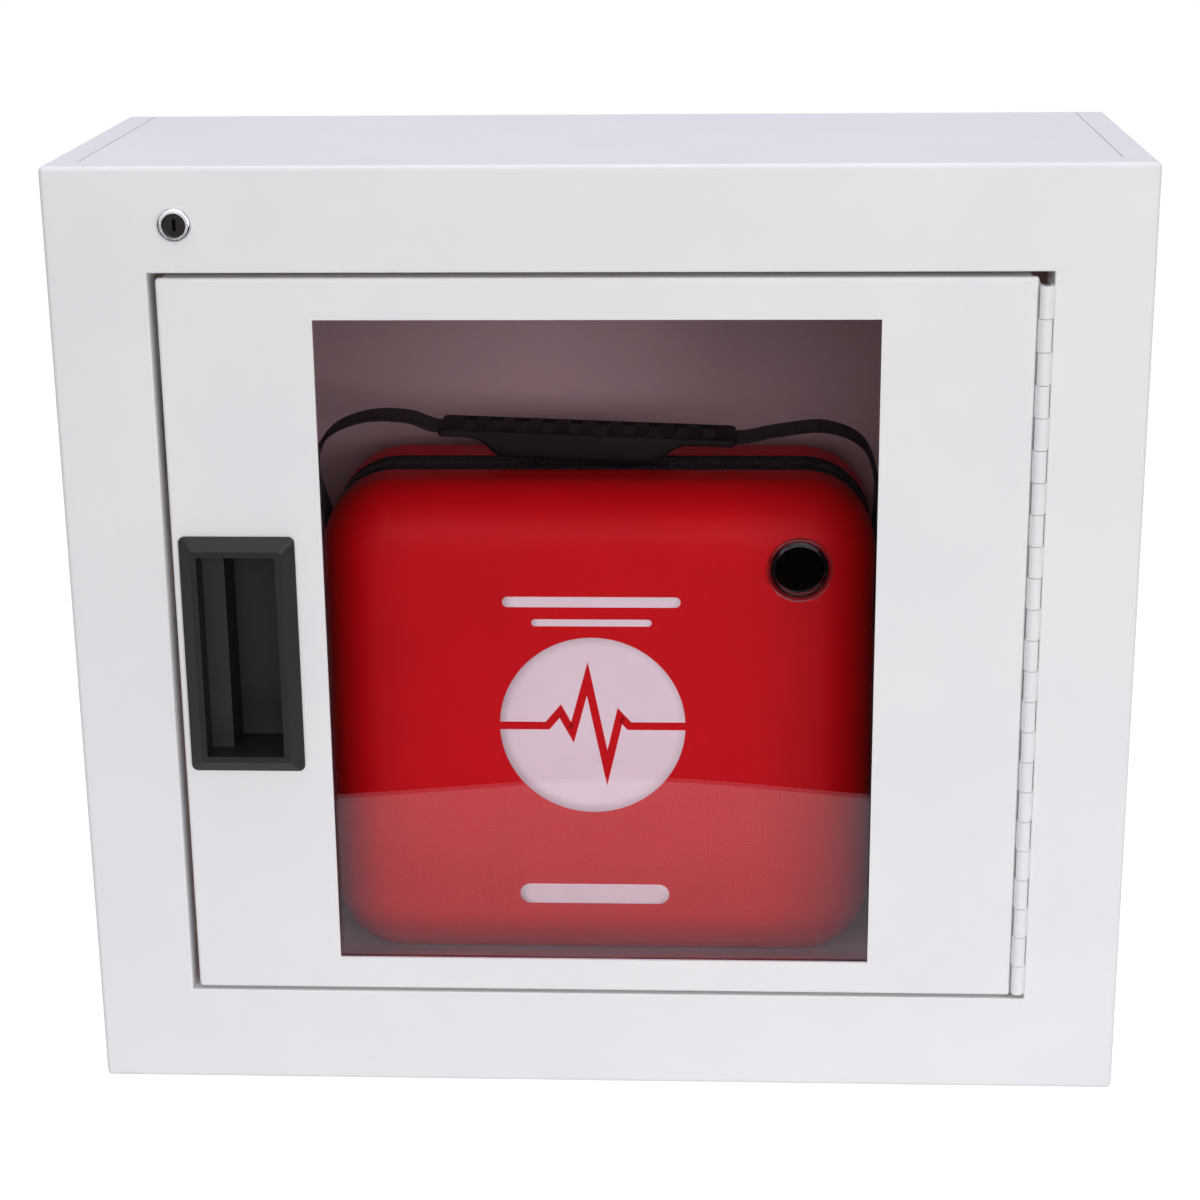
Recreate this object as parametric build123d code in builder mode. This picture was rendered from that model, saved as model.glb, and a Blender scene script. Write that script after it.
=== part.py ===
"""Wall cabinet holding a defibrillator in its carry case.

A steel cabinet stands or hangs with its back to a wall. Its door has a clear window, a recessed pull and a
continuous hinge, and a key switch arms a door alarm. Inside, a zipped red carry case stands on a raised shelf,
and the defibrillator lies in the case with its battery and its electrode pads.

Millimetres. +X is to the right seen from the front, +Y runs from the door to the wall, +Z is up. The origin is
in the middle of the footprint, on the surface that the cabinet stands on.
"""

import os

from build123d import *

os.makedirs("parts", exist_ok=True)

# ---------------------------------------------------------------- cabinet
cabinet_width = 419.1
cabinet_height = 381.0
cabinet_depth = 152.4
sheet = 1.2
bend_radius = 2.0
corner_return = 14.0  # depth of the front piece's side walls, where the rear piece takes over
lap_inset = 12.5  # how far the top and bottom sheets stop short of the sides
lap = 12.0  # overlap of the rear piece's flanges under those sheets
seam_gap = 0.3  # the rear piece is joggled, so its flanges are flush with those sheets outside this gap
wall_hole_radius = 3.5
wall_hole_spacing_x = 254.0
wall_hole_spacing_z = 228.6

opening_margin_left = 38.85
opening_margin_right = 37.55
opening_margin_top = 40.4
opening_bottom = 40.6
opening_return = 22.0  # depth of the flanges folded in around the door opening
edge_bend = 0.8

# ---------------------------------------------------------------- door
door_gap_left = 2.9
door_gap_bottom = 1.3
door_gap_top = 2.0
door_return = 13.0
door_bend = 1.5
door_relief = 2.4
window_margin_left = 59.5
window_margin_right = 58.3
window_margin_bottom = 14.1
window_margin_top = 16.1
pane_thickness = 3.0
pane_overlap = 6.0
gasket_thickness = 1.0
gasket_inset = 1.5
retainer_thickness = 1.0
retainer_margin = 6.4
stud_radius = 1.5
stud_hole_clearance = 0.4
stud_tip = 1.2
nut_across_flats = 5.5
nut_thickness = 2.4

# ---------------------------------------------------------------- hinge
knuckle_pitch = 12.7
knuckle_radius = 2.5
knuckle_gap = 0.25
hinge_pin_radius = 1.2
hinge_pin_clearance = 0.05
hinge_leaf = 1.0
hinge_leaf_depth = 14.5
hinge_side_clearance = 0.3
hinge_proud = 0.5  # the axis stands this far in front of the cabinet's face
hinge_top_gap = 5.0
rivet_radius = 1.6
rivet_hole_clearance = 0.05
rivet_head_radius = 2.9
rivet_head_height = 0.8
rivet_count = 5
rivet_first_share = 0.4  # place of the first frame rivet, as a share of the rivet spacing
rivet_stagger_share = 0.2  # the door rivets stand this share of the spacing above the frame rivets
rivet_from_leaf_edge = 4.5
hinge_strip_clearance = 0.4

# ---------------------------------------------------------------- pull
pull_edge_gap = 2.9  # from the door's edge to the pull
pull_window_gap = 10.8  # from the pull to the window opening, clear of the retainer and its studs
pull_width = window_margin_left - pull_edge_gap - pull_window_gap
pull_from_edge = pull_edge_gap + pull_width / 2
pull_height = 98.0
pull_below_centre = 2.6
pull_corner = 2.5
pull_edge = 1.0
pull_proud = 5.0
pull_slope = 5.0
pull_land = 2.4
pull_wall = 2.0
pull_recess_depth = 22.0
pull_ledge_width = 9.6  # a shallow ledge on the left, where the thumb rests
pull_ledge_depth = 6.0
pull_ledge_fall = 1.0
pull_ledge_draft = 1.0
pull_cup_clearance = 0.4
pull_barb = 1.6
pull_barb_length = 4.0
pull_barb_width = 16.0

# ---------------------------------------------------------------- key switch and alarm
lock_from_side = 50.75
lock_from_top = 22.0
lock_radius = 5.4
lock_head_radius = 6.5
lock_head_height = 1.8
lock_length = 20.0
lock_hole_clearance = 0.1
plug_radius = 4.6
plug_clearance = 0.05
plug_recess = 1.4
plug_stub = 0.4
key_slot_width = 1.4
key_slot_height = 4.6
key_slot_depth = 7.0
lock_nut_across_flats = 13.0
lock_nut_thickness = 3.0
cam_length = 10.0
cam_width = 6.0
cam_thickness = 1.5
cam_hub_radius = 3.6
cam_corner = 1.2
alarm_width = 106.0
alarm_height = 34.0
alarm_depth = 30.0
alarm_wall = 2.0
alarm_side_gap = 6.5
alarm_gap_above_opening = 2.0
battery_width = 48.5
battery_height = 26.0
battery_thickness = 17.0
battery_corner = 1.5
siren_radius = 12.0
siren_height = 9.0
siren_hole_radius = 1.2
siren_hole_pitch = 5.0
siren_wall_gap = 1.5
screw_radius = 1.25
screw_head_radius = 2.6
screw_head_height = 1.8
screw_length = 9.0
boss_radius = 2.5
boss_wall_lap = 0.2
board_post_radius = 2.0
board_post_span_x = 28.8
board_post_span_z = 18.2
board_thickness = 1.6
board_width = 36.0
board_gap = 4.6
switch_width = 12.0
switch_height = 4.4
switch_depth = 8.0
wire_radius = 1.5
wire_bend = 4.0
wire_clear = 5.0

# ---------------------------------------------------------------- door catch and door sensor
catch_length = 40.0
catch_width = 12.0
catch_depth = 11.0
catch_below_top = 60.6
catch_gap = 0.3
magnet_length = 28.0
magnet_width = 6.0
magnet_depth = 6.6
strike_thickness = 1.0
strike_length = 36.0
sensor_length = 26.0
sensor_width = 8.0
sensor_depth = 7.0
sensor_below_top = 20.6

# ---------------------------------------------------------------- shelf
shelf_width = 300.0
shelf_front = 20.0
shelf_foot = 14.0

# ---------------------------------------------------------------- carry case
case_width = 232.0
case_height = 212.0
case_x = -4.0
case_bottom = 28.5
case_gap_behind = 3.2
case_corner = 30.0
case_wall = 4.0
lid_depth = 38.0
gusset_depth = 23.0
shell_depth = 35.0
lid_edge = 24.0
back_edge = 20.0
gusset_inset = 0.8
gusset_thickness = 3.0
zip_width = 6.0
zip_proud = 0.6
status_x = 80.0
status_z = 207.8
grommet_radius = 13.5
grommet_sleeve_radius = 12.0
grommet_bore_radius = 10.3
grommet_flange = 1.4

slider_z = 100.0
slider_length = 11.0
slider_width = 8.6
slider_plate = 2.0
slider_clearance = 0.3
slider_ear = 1.5
slider_ear_height = 2.6
zip_pin_radius = 0.6
zip_pin_clearance = 0.1
zip_pin_offset = 1.9
zip_tab_barrel_radius = 1.5
zip_tab_neck = 4.0
zip_tab_length = 26.0
zip_tab_width = 7.0
zip_tab_thickness = 1.6
zip_tab_corner = 2.1
zip_tab_blade_share = 0.8  # share of the tab's length that is wide

# ---------------------------------------------------------------- carry handle
grip_length = 126.0
grip_height = 11.0
grip_width = 27.0
grip_rise_left = 13.6
grip_rise_right = 8.8
grip_end_left = 48.0
grip_groove_pitch = 11.8
grip_groove_count = 9
grip_groove_width = 3.0
grip_groove_depth = 1.2
grip_slot_clearance = 0.4
grip_corner = 2.75
grip_edge = 2.2
grip_belly_length = 76.0
grip_belly_depth = 3.7
grip_belly_shift = -3.5
strap_width = 20.0
strap_thickness = 1.8
strap_gap = 0.4
# Routes of the strap's two bights: offsets from the strap's side run and the case's top, outward end first
# on the left and last on the right.
left_bight = ((0.0, -30.0), (-5.5, -3.0), (1.0, 12.5), (16.5, 19.8), (35.0, 20.0))
right_bight = ((-41.0, 14.0), (-21.0, 15.6), (-5.5, 8.5), (0.6, -9.0), (0.0, -30.0))
anchor_below_top = 72.0
anchor_rivet_rise = 8.0
anchor_rivet_radius = 1.5
anchor_rivet_head_radius = 2.6
anchor_rivet_zip_gap = 1.5

# ---------------------------------------------------------------- defibrillator
device_width = 184.0
device_height = 190.0
device_corner = 16.0
device_front_depth = 30.0
device_rear_depth = 28.0
device_wall = 3.0
device_edge = 6.0
lid_pad_thickness = 8.5
pad_gap = 2.5
tray_front_gap = 10.0
tray_clearance = 0.6
button_proud = 2.0
button_travel = 1.5
button_clearance = 0.4
button_flange = 1.6
button_flange_thickness = 1.5
shock_radius = 15.0
on_radius = 12.0
info_radius = 9.0
shock_place = (48.0, -58.0)
on_place = (-62.0, 62.0)
info_place = (0.0, -58.0)
cartridge_width = 104.0
cartridge_height = 92.0
cartridge_depth = 15.0
cartridge_place = (6.0, 28.0)
cartridge_wall = 2.0
cartridge_clearance = 0.4
cartridge_handle_width = 60.0
cartridge_handle_height = 14.0
finger_slot_width = 42.0
finger_slot_height = 5.6
light_radius = 5.0
light_place = (84.0, 73.3)
speaker_radius = 13.0
speaker_depth = 8.0
speaker_hole_pitch = 5.0
speaker_hole_rows = 4
speaker_place = (-62.0, -58.0)
device_board_width = 150.0
device_board_height = 120.0
capacitor_radius = 12.0
capacitor_length = 50.0
capacitor_place = (-35.0, -30.0)
pack_width = 90.0
pack_height = 50.0
pack_depth = 24.0
pack_place = (0.0, 52.0)
pack_clearance = 0.4

# ---------------------------------------------------------------- derived places
front_y = -(cabinet_depth - pull_proud) / 2
back_y = front_y + cabinet_depth
half_width = cabinet_width / 2
opening_left = -half_width + opening_margin_left
opening_right = half_width - opening_margin_right
opening_top = cabinet_height - opening_margin_top
opening_width = opening_right - opening_left
opening_height = opening_top - opening_bottom
opening_centre = ((opening_left + opening_right) / 2, (opening_bottom + opening_top) / 2)

hinge_x = opening_right - hinge_side_clearance - knuckle_radius
hinge_y = front_y - hinge_proud
hinge_top = opening_top - hinge_top_gap
knuckle_pairs = int((hinge_top - opening_bottom - knuckle_pitch) / (2 * knuckle_pitch))
knuckle_count = 2 * knuckle_pairs + 1
hinge_length = knuckle_count * knuckle_pitch
hinge_bottom = hinge_top - hinge_length
door_left = opening_left + door_gap_left
door_right = hinge_x - knuckle_radius - hinge_side_clearance
door_bottom = opening_bottom + door_gap_bottom
door_top = opening_top - door_gap_top
door_width = door_right - door_left
door_height = door_top - door_bottom
door_centre = ((door_left + door_right) / 2, (door_bottom + door_top) / 2)

frame_leaf_x = opening_right - hinge_leaf / 2
door_leaf_x = door_right + hinge_leaf / 2
strip_start = knuckle_radius + hinge_strip_clearance
rivet_step = hinge_length / rivet_count
frame_rivet_heights = [hinge_bottom + rivet_step * (n + rivet_first_share) for n in range(rivet_count)]
door_rivet_heights = [height + rivet_step * rivet_stagger_share for height in frame_rivet_heights]
rivet_y = hinge_y + hinge_leaf_depth - rivet_from_leaf_edge

window_left = door_left + window_margin_left
window_right = door_right - window_margin_right
window_bottom = door_bottom + window_margin_bottom
window_top = door_top - window_margin_top
window_width = window_right - window_left
window_height = window_top - window_bottom
window_centre = ((window_left + window_right) / 2, (window_bottom + window_top) / 2)
pane_width = window_width + 2 * pane_overlap
pane_height = window_height + 2 * pane_overlap
pane_depth = sheet + gasket_thickness
retainer_depth = pane_depth + pane_thickness

catch_z = door_top - catch_below_top
sensor_z = door_top - sensor_below_top
pull_centre = (door_left + pull_from_edge, door_centre[1] - pull_below_centre)
lock_x = -half_width + lock_from_side
lock_z = cabinet_height - lock_from_top

case_depth = lid_depth + gusset_depth + shell_depth
case_front = cabinet_depth - sheet - case_gap_behind - case_depth
case_centre = (case_x, case_bottom + case_height / 2)
rim_depth = case_front + lid_depth
gusset_back = rim_depth + gusset_depth
case_back = gusset_back + shell_depth
band_width = case_width - 2 * gusset_inset
band_height = case_height - 2 * gusset_inset
band_corner = case_corner - gusset_inset
band_mid_y = front_y + rim_depth + gusset_depth / 2
case_top = case_bottom + case_height

lid_inside = case_front + case_wall
device_front = lid_inside + lid_pad_thickness + pad_gap
device_split = device_front + device_front_depth
device_back = device_split + device_rear_depth
device_centre = case_centre


def front_plane(depth):
    """A plane facing the viewer, this far behind the cabinet's face. Sketch X is +X and sketch Y is +Z."""
    return Plane(origin=(0, front_y + depth, 0), x_dir=(1, 0, 0), z_dir=(0, -1, 0))


def save(piece, name):
    """Labels a finished piece and writes it as its own file."""
    piece.part.label = name
    export_step(piece.part, f"parts/{name}.step")


def on_device(place):
    """A place on the defibrillator's face, counted from its centre."""
    return (device_centre[0] + place[0], device_centre[1] + place[1])


def soft_block(near, far, width, height, corner, near_edge=0.0, far_edge=0.0):
    """A block with rounded corners from depth near to depth far, its near and far edges rounded too."""
    with BuildPart() as block:
        with BuildSketch(front_plane(near)):
            with Locations(case_centre):
                RectangleRounded(width, height, corner)
        extrude(amount=near - far)
        if near_edge:
            fillet(block.faces().sort_by(Axis.Y)[0].edges(), near_edge)
        if far_edge:
            fillet(block.faces().sort_by(Axis.Y)[-1].edges(), far_edge)
    return block.part


# ================================================================ cabinet shell
with BuildPart() as front_wrap:
    with BuildSketch(front_plane(0)):
        with Locations((0, cabinet_height / 2)):
            Rectangle(cabinet_width, cabinet_height)
    extrude(amount=-cabinet_depth)
    long_edges = front_wrap.edges().filter_by(Axis.Y)
    face_edges = front_wrap.faces().sort_by(Axis.Y)[0].edges()
    fillet(long_edges + face_edges, bend_radius)
    with BuildSketch(front_plane(sheet)):
        with Locations((0, cabinet_height / 2)):
            RectangleRounded(cabinet_width - 2 * sheet, cabinet_height - 2 * sheet, bend_radius - sheet)
    extrude(amount=-cabinet_depth, mode=Mode.SUBTRACT)
    with BuildSketch(front_plane(0)):
        with Locations(opening_centre):
            Rectangle(opening_width + 2 * sheet, opening_height + 2 * sheet)
    extrude(amount=-opening_return)
    with BuildSketch(front_plane(0)):
        with Locations(opening_centre):
            Rectangle(opening_width, opening_height)
    extrude(amount=-opening_return, mode=Mode.SUBTRACT)
    opening_edges = (
        front_wrap.edges()
        .filter_by_position(Axis.Y, front_y - 0.01, front_y + 0.01)
        .filter_by_position(Axis.X, opening_left - sheet, opening_right + sheet)
        .filter_by_position(Axis.Z, opening_bottom - sheet, opening_top + sheet)
    )
    fillet(opening_edges, edge_bend)
    with BuildSketch(front_plane(0)):
        with Locations((lock_x, lock_z)):
            Circle(lock_radius + lock_hole_clearance)
    extrude(amount=-2 * sheet, mode=Mode.SUBTRACT)
    with BuildSketch(Plane.YZ.offset(opening_right - sheet)):
        with Locations([(rivet_y, height) for height in frame_rivet_heights]):
            Circle(rivet_radius + rivet_hole_clearance)
    extrude(amount=4 * sheet, mode=Mode.SUBTRACT)
    with BuildSketch(Plane.XY):
        for side in (-1, 1):
            with Locations((side * half_width, front_y + corner_return)):
                Rectangle(2 * lap_inset, 2 * cabinet_depth, align=(Align.CENTER, Align.MIN))
    extrude(amount=cabinet_height, mode=Mode.SUBTRACT)
save(front_wrap, "front_wrap")

seam_x = half_width - lap_inset + seam_gap
with BuildPart() as rear_wrap:
    with BuildSketch(Plane.XY):
        with Locations((0, front_y + corner_return)):
            Rectangle(cabinet_width, cabinet_depth - corner_return, align=(Align.CENTER, Align.MIN))
    extrude(amount=cabinet_height)
    rear_verticals = rear_wrap.edges().filter_by(Axis.Z).group_by(Axis.Y)[-1]
    flange_bends = rear_wrap.edges().filter_by(Axis.Y)
    fillet(rear_verticals + flange_bends, bend_radius)
    for lapped in (0, cabinet_height - sheet):
        with BuildSketch(Plane.XY.offset(lapped)):
            with Locations((0, front_y)):
                Rectangle(2 * seam_x, 2 * cabinet_depth, align=(Align.CENTER, Align.MIN))
        extrude(amount=sheet, mode=Mode.SUBTRACT)
    with BuildSketch(Plane.XY.offset(2 * sheet)):
        with Locations((0, front_y)):
            Rectangle(cabinet_width - 2 * sheet, cabinet_depth - sheet, align=(Align.CENTER, Align.MIN))
    extrude(amount=cabinet_height - 4 * sheet, mode=Mode.SUBTRACT)
    with BuildSketch(Plane.XY.offset(sheet)):
        for side in (-1, 1):
            with Locations((side * (seam_x + half_width) / 2, front_y)):
                Rectangle(
                    half_width - seam_x - 2 * sheet,
                    cabinet_depth - sheet,
                    align=(Align.CENTER, Align.MIN),
                )
    extrude(amount=cabinet_height - 2 * sheet, mode=Mode.SUBTRACT)
    with BuildSketch(Plane.XY):
        with Locations((0, front_y)):
            Rectangle(
                cabinet_width - 2 * (lap_inset + lap),
                cabinet_depth - sheet,
                align=(Align.CENTER, Align.MIN),
            )
    extrude(amount=cabinet_height, mode=Mode.SUBTRACT)
    with BuildSketch(front_plane(cabinet_depth - 2 * sheet)):
        with Locations((0, cabinet_height / 2)):
            with GridLocations(wall_hole_spacing_x, wall_hole_spacing_z, 2, 2):
                Circle(wall_hole_radius)
    extrude(amount=-3 * sheet, mode=Mode.SUBTRACT)
save(rear_wrap, "rear_wrap")

# ================================================================ shelf that lifts the case over the sill
shelf_back = cabinet_depth - 2 * sheet
shelf_height = case_bottom - sheet
rivet_rows = [
    (side * shelf_width / 3, front_y + place)
    for side in (-1, 1)
    for place in (shelf_front + shelf_foot / 2, shelf_back - shelf_foot / 2)
]
with BuildPart() as case_shelf:
    with BuildSketch(Plane.YZ.offset(-shelf_width / 2)):
        with Locations((front_y + shelf_front, sheet)):
            Rectangle(shelf_back - shelf_front, shelf_height, align=Align.MIN)
        with Locations((front_y + shelf_front + sheet, 2 * sheet)):
            Rectangle(
                shelf_back - shelf_front - 2 * sheet,
                shelf_height - 2 * sheet,
                align=Align.MIN,
                mode=Mode.SUBTRACT,
            )
        with Locations((front_y + shelf_front + shelf_foot, 0)):
            Rectangle(
                shelf_back - shelf_front - 2 * shelf_foot,
                3 * sheet,
                align=Align.MIN,
                mode=Mode.SUBTRACT,
            )
    extrude(amount=shelf_width)
    fillet(case_shelf.faces().sort_by(Axis.Z)[-1].edges().filter_by(Axis.X), edge_bend)
    with BuildSketch(Plane.XY):
        with Locations(rivet_rows):
            Circle(rivet_radius + rivet_hole_clearance)
    extrude(amount=3 * sheet, mode=Mode.SUBTRACT)
save(case_shelf, "case_shelf")

with BuildPart() as shelf_rivets:
    with BuildSketch(Plane.XY.offset(sheet)):
        with Locations(rivet_rows):
            Circle(rivet_radius)
    extrude(amount=sheet)
    with BuildSketch(Plane.XY.offset(2 * sheet)):
        with Locations(rivet_rows):
            Circle(rivet_head_radius)
    extrude(amount=rivet_head_height)
save(shelf_rivets, "shelf_rivets")

# ================================================================ continuous hinge

def knuckle_height(index):
    """The height of the middle of one knuckle, counted from the bottom."""
    return hinge_bottom + knuckle_pitch * (index + 0.5)


def hinge_leaf_piece(leaf_x, first_knuckle, rivet_heights):
    """A hinge leaf: a strip running back from the axis, every second knuckle, and its rivet holes."""
    knuckle_length = knuckle_pitch - knuckle_gap
    with BuildPart() as leaf:
        with BuildSketch(Plane.XY.offset(hinge_bottom)):
            with Locations((leaf_x, hinge_y + strip_start)):
                Rectangle(hinge_leaf, hinge_leaf_depth - strip_start, align=(Align.CENTER, Align.MIN))
        extrude(amount=hinge_length)
        for index in range(first_knuckle, knuckle_count, 2):
            with BuildSketch(Plane.XY.offset(knuckle_height(index) - knuckle_length / 2)):
                with Locations((hinge_x, hinge_y)):
                    Circle(knuckle_radius)
                with Locations((leaf_x, hinge_y)):
                    Rectangle(hinge_leaf, strip_start + hinge_leaf, align=(Align.CENTER, Align.MIN))
            extrude(amount=knuckle_length)
        with BuildSketch(Plane.XY.offset(hinge_bottom)):
            with Locations((hinge_x, hinge_y)):
                Circle(hinge_pin_radius + hinge_pin_clearance)
        extrude(amount=hinge_length, mode=Mode.SUBTRACT)
        with BuildSketch(Plane.YZ.offset(leaf_x - hinge_leaf)):
            with Locations([(rivet_y, height) for height in rivet_heights]):
                Circle(rivet_radius + rivet_hole_clearance)
        extrude(amount=2 * hinge_leaf, mode=Mode.SUBTRACT)
    return leaf


hinge_frame_leaf = hinge_leaf_piece(frame_leaf_x, 0, frame_rivet_heights)
save(hinge_frame_leaf, "hinge_frame_leaf")
hinge_door_leaf = hinge_leaf_piece(door_leaf_x, 1, door_rivet_heights)
save(hinge_door_leaf, "hinge_door_leaf")

with BuildPart() as hinge_pin:
    with BuildSketch(Plane.XY.offset(hinge_bottom)):
        with Locations((hinge_x, hinge_y)):
            Circle(hinge_pin_radius)
    extrude(amount=hinge_length)
save(hinge_pin, "hinge_pin")


def hinge_rivets(start_x, direction, rivet_heights):
    """Rivets along the hinge: a shank through leaf and flange and a flat head on the leaf's open side."""
    places = [(rivet_y, height) for height in rivet_heights]
    with BuildPart() as rivets:
        with BuildSketch(Plane.YZ.offset(start_x)):
            with Locations(places):
                Circle(rivet_head_radius)
        extrude(amount=direction * rivet_head_height)
        with BuildSketch(Plane.YZ.offset(start_x)):
            with Locations(places):
                Circle(rivet_radius)
        extrude(amount=-direction * (hinge_leaf + sheet))
    return rivets


hinge_frame_rivets = hinge_rivets(opening_right - hinge_leaf, -1, frame_rivet_heights)
save(hinge_frame_rivets, "hinge_frame_rivets")
hinge_door_rivets = hinge_rivets(door_right + hinge_leaf, 1, door_rivet_heights)
save(hinge_door_rivets, "hinge_door_rivets")

# ================================================================ door
with BuildPart() as door_panel:
    with BuildSketch(front_plane(0)):
        with Locations(door_centre):
            Rectangle(door_width, door_height)
    extrude(amount=-door_return)
    door_verticals = door_panel.edges().filter_by(Axis.Y)
    door_face_edges = door_panel.faces().sort_by(Axis.Y)[0].edges()
    fillet(door_verticals + door_face_edges, door_bend)
    with BuildSketch(front_plane(sheet)):
        with Locations(door_centre):
            Rectangle(door_width - 2 * sheet, door_height - 2 * sheet)
    extrude(amount=-door_return, mode=Mode.SUBTRACT)
    with BuildSketch(front_plane(2 * sheet)):
        with Locations(door_centre):
            with GridLocations(door_width, door_height, 2, 2):
                Rectangle(2 * door_relief, 2 * door_relief)
    extrude(amount=-door_return, mode=Mode.SUBTRACT)
    with BuildSketch(front_plane(0)):
        with Locations(window_centre):
            Rectangle(window_width, window_height)
        with Locations(pull_centre):
            Rectangle(
                pull_width - 2 * (pull_slope + pull_land - pull_wall - pull_cup_clearance),
                pull_height - 2 * (pull_slope + pull_land - pull_wall - pull_cup_clearance),
            )
    extrude(amount=-2 * sheet, mode=Mode.SUBTRACT)
    with BuildSketch(Plane.YZ.offset(door_right - 2 * sheet)):
        with Locations([(rivet_y, height) for height in door_rivet_heights]):
            Circle(rivet_radius + rivet_hole_clearance)
    extrude(amount=4 * sheet, mode=Mode.SUBTRACT)
save(door_panel, "door_panel")

with BuildPart() as window_gasket:
    with BuildSketch(front_plane(sheet)):
        with Locations(window_centre):
            Rectangle(pane_width, pane_height)
            Rectangle(window_width + 2 * gasket_inset, window_height + 2 * gasket_inset, mode=Mode.SUBTRACT)
    extrude(amount=-gasket_thickness)
save(window_gasket, "window_gasket")

with BuildPart() as window_pane:
    with BuildSketch(front_plane(pane_depth)):
        with Locations(window_centre):
            Rectangle(pane_width, pane_height)
    extrude(amount=-pane_thickness)
save(window_pane, "window_pane")

stud_span_x = pane_width + retainer_margin
stud_span_z = pane_height + retainer_margin
stud_places = [
    (window_centre[0] + across * stud_span_x / 2, window_centre[1] + up * stud_span_z / 2)
    for across, up in ((-1, -1), (0, -1), (1, -1), (-1, 0), (1, 0), (-1, 1), (0, 1), (1, 1))
]
with BuildPart() as pane_retainer:
    with BuildSketch(front_plane(retainer_depth)):
        with Locations(window_centre):
            Rectangle(pane_width + 2 * retainer_margin, pane_height + 2 * retainer_margin)
            Rectangle(window_width + 2 * gasket_inset, window_height + 2 * gasket_inset, mode=Mode.SUBTRACT)
        with Locations(stud_places):
            Circle(stud_radius + stud_hole_clearance, mode=Mode.SUBTRACT)
    extrude(amount=-retainer_thickness)
save(pane_retainer, "pane_retainer")

nut_depth = retainer_depth + retainer_thickness
with BuildPart() as door_studs:
    with BuildSketch(front_plane(sheet)):
        with Locations(stud_places):
            Circle(stud_radius)
    extrude(amount=sheet - nut_depth - nut_thickness - stud_tip)
save(door_studs, "door_studs")

with BuildPart() as door_nuts:
    with BuildSketch(front_plane(nut_depth)):
        with Locations(stud_places):
            RegularPolygon(nut_across_flats / 2, 6, major_radius=False)
            Circle(stud_radius, mode=Mode.SUBTRACT)
    extrude(amount=-nut_thickness)
save(door_nuts, "door_nuts")

# ---------------------------------------------------------------- recessed pull
recess_width = pull_width - 2 * (pull_slope + pull_land)
recess_height = pull_height - 2 * (pull_slope + pull_land)
recess_left = pull_centre[0] - recess_width / 2
recess_right = pull_centre[0] + recess_width / 2
slot_left = recess_left + pull_ledge_width
cup_left = slot_left - pull_ledge_draft - pull_wall
cup_right = recess_right + pull_wall
with BuildPart() as door_pull:
    with BuildSketch(front_plane(0)):
        with Locations(pull_centre):
            RectangleRounded(pull_width, pull_height, pull_corner)
    extrude(amount=pull_edge)
    with BuildSketch(front_plane(-pull_edge)):
        with Locations(pull_centre):
            RectangleRounded(pull_width, pull_height, pull_corner)
    with BuildSketch(front_plane(-pull_proud)):
        with Locations(pull_centre):
            RectangleRounded(pull_width - 2 * pull_slope, pull_height - 2 * pull_slope, pull_corner / 2)
    loft()
    with BuildSketch(front_plane(0)):
        with Locations(pull_centre):
            Rectangle(recess_width + 2 * pull_wall, recess_height + 2 * pull_wall)
    extrude(amount=-pull_ledge_depth - pull_ledge_fall - pull_wall)
    with BuildSketch(front_plane(0)):
        with Locations(((cup_left + cup_right) / 2, pull_centre[1])):
            Rectangle(cup_right - cup_left, recess_height + 2 * pull_wall)
    extrude(amount=-pull_recess_depth - pull_wall)
    with BuildSketch(Plane.XY.offset(pull_centre[1] - recess_height / 2)):
        with BuildLine():
            Polyline(
                (recess_left, front_y - pull_proud),
                (recess_right, front_y - pull_proud),
                (recess_right, front_y + pull_recess_depth),
                (slot_left, front_y + pull_recess_depth),
                (slot_left - pull_ledge_draft, front_y + pull_ledge_depth + pull_ledge_fall),
                (recess_left, front_y + pull_ledge_depth),
                close=True,
            )
        make_face()
    extrude(amount=recess_height, mode=Mode.SUBTRACT)
    for end in (-1, 1):
        barb_z = pull_centre[1] + end * (recess_height / 2 + pull_wall)
        with BuildSketch(Plane.YZ.offset(pull_centre[0] - pull_barb_width / 2)):
            with BuildLine():
                Polyline(
                    (front_y + sheet, barb_z),
                    (front_y + sheet, barb_z + end * pull_barb),
                    (front_y + sheet + pull_barb_length, barb_z),
                    close=True,
                )
            make_face()
        extrude(amount=pull_barb_width)
save(door_pull, "door_pull")

# ================================================================ catch and door sensor
strike_left = door_left + sheet
with BuildPart() as strike_plate:
    with BuildSketch(front_plane(door_return - strike_thickness)):
        with Locations((strike_left, catch_z)):
            Rectangle(catch_width - strike_thickness, strike_length, align=(Align.MIN, Align.CENTER))
    extrude(amount=-strike_thickness)
    with BuildSketch(front_plane(door_return / 2)):
        with Locations((strike_left, catch_z)):
            Rectangle(strike_thickness, strike_length, align=(Align.MIN, Align.CENTER))
    extrude(amount=-door_return / 2)
save(strike_plate, "strike_plate")

catch_front = door_return + catch_gap
with BuildPart() as catch_body:
    with BuildSketch(front_plane(catch_front)):
        with Locations((opening_left, catch_z)):
            Rectangle(catch_width, catch_length, align=(Align.MIN, Align.CENTER))
    extrude(amount=-catch_depth)
    with BuildSketch(front_plane(catch_front)):
        with Locations((opening_left + catch_width / 2, catch_z)):
            Rectangle(magnet_width, magnet_length)
    extrude(amount=-magnet_depth, mode=Mode.SUBTRACT)
save(catch_body, "catch_body")

with BuildPart() as catch_magnet:
    with BuildSketch(front_plane(catch_front)):
        with Locations((opening_left + catch_width / 2, catch_z)):
            Rectangle(magnet_width, magnet_length)
    extrude(amount=-magnet_depth)
save(catch_magnet, "catch_magnet")

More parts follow.
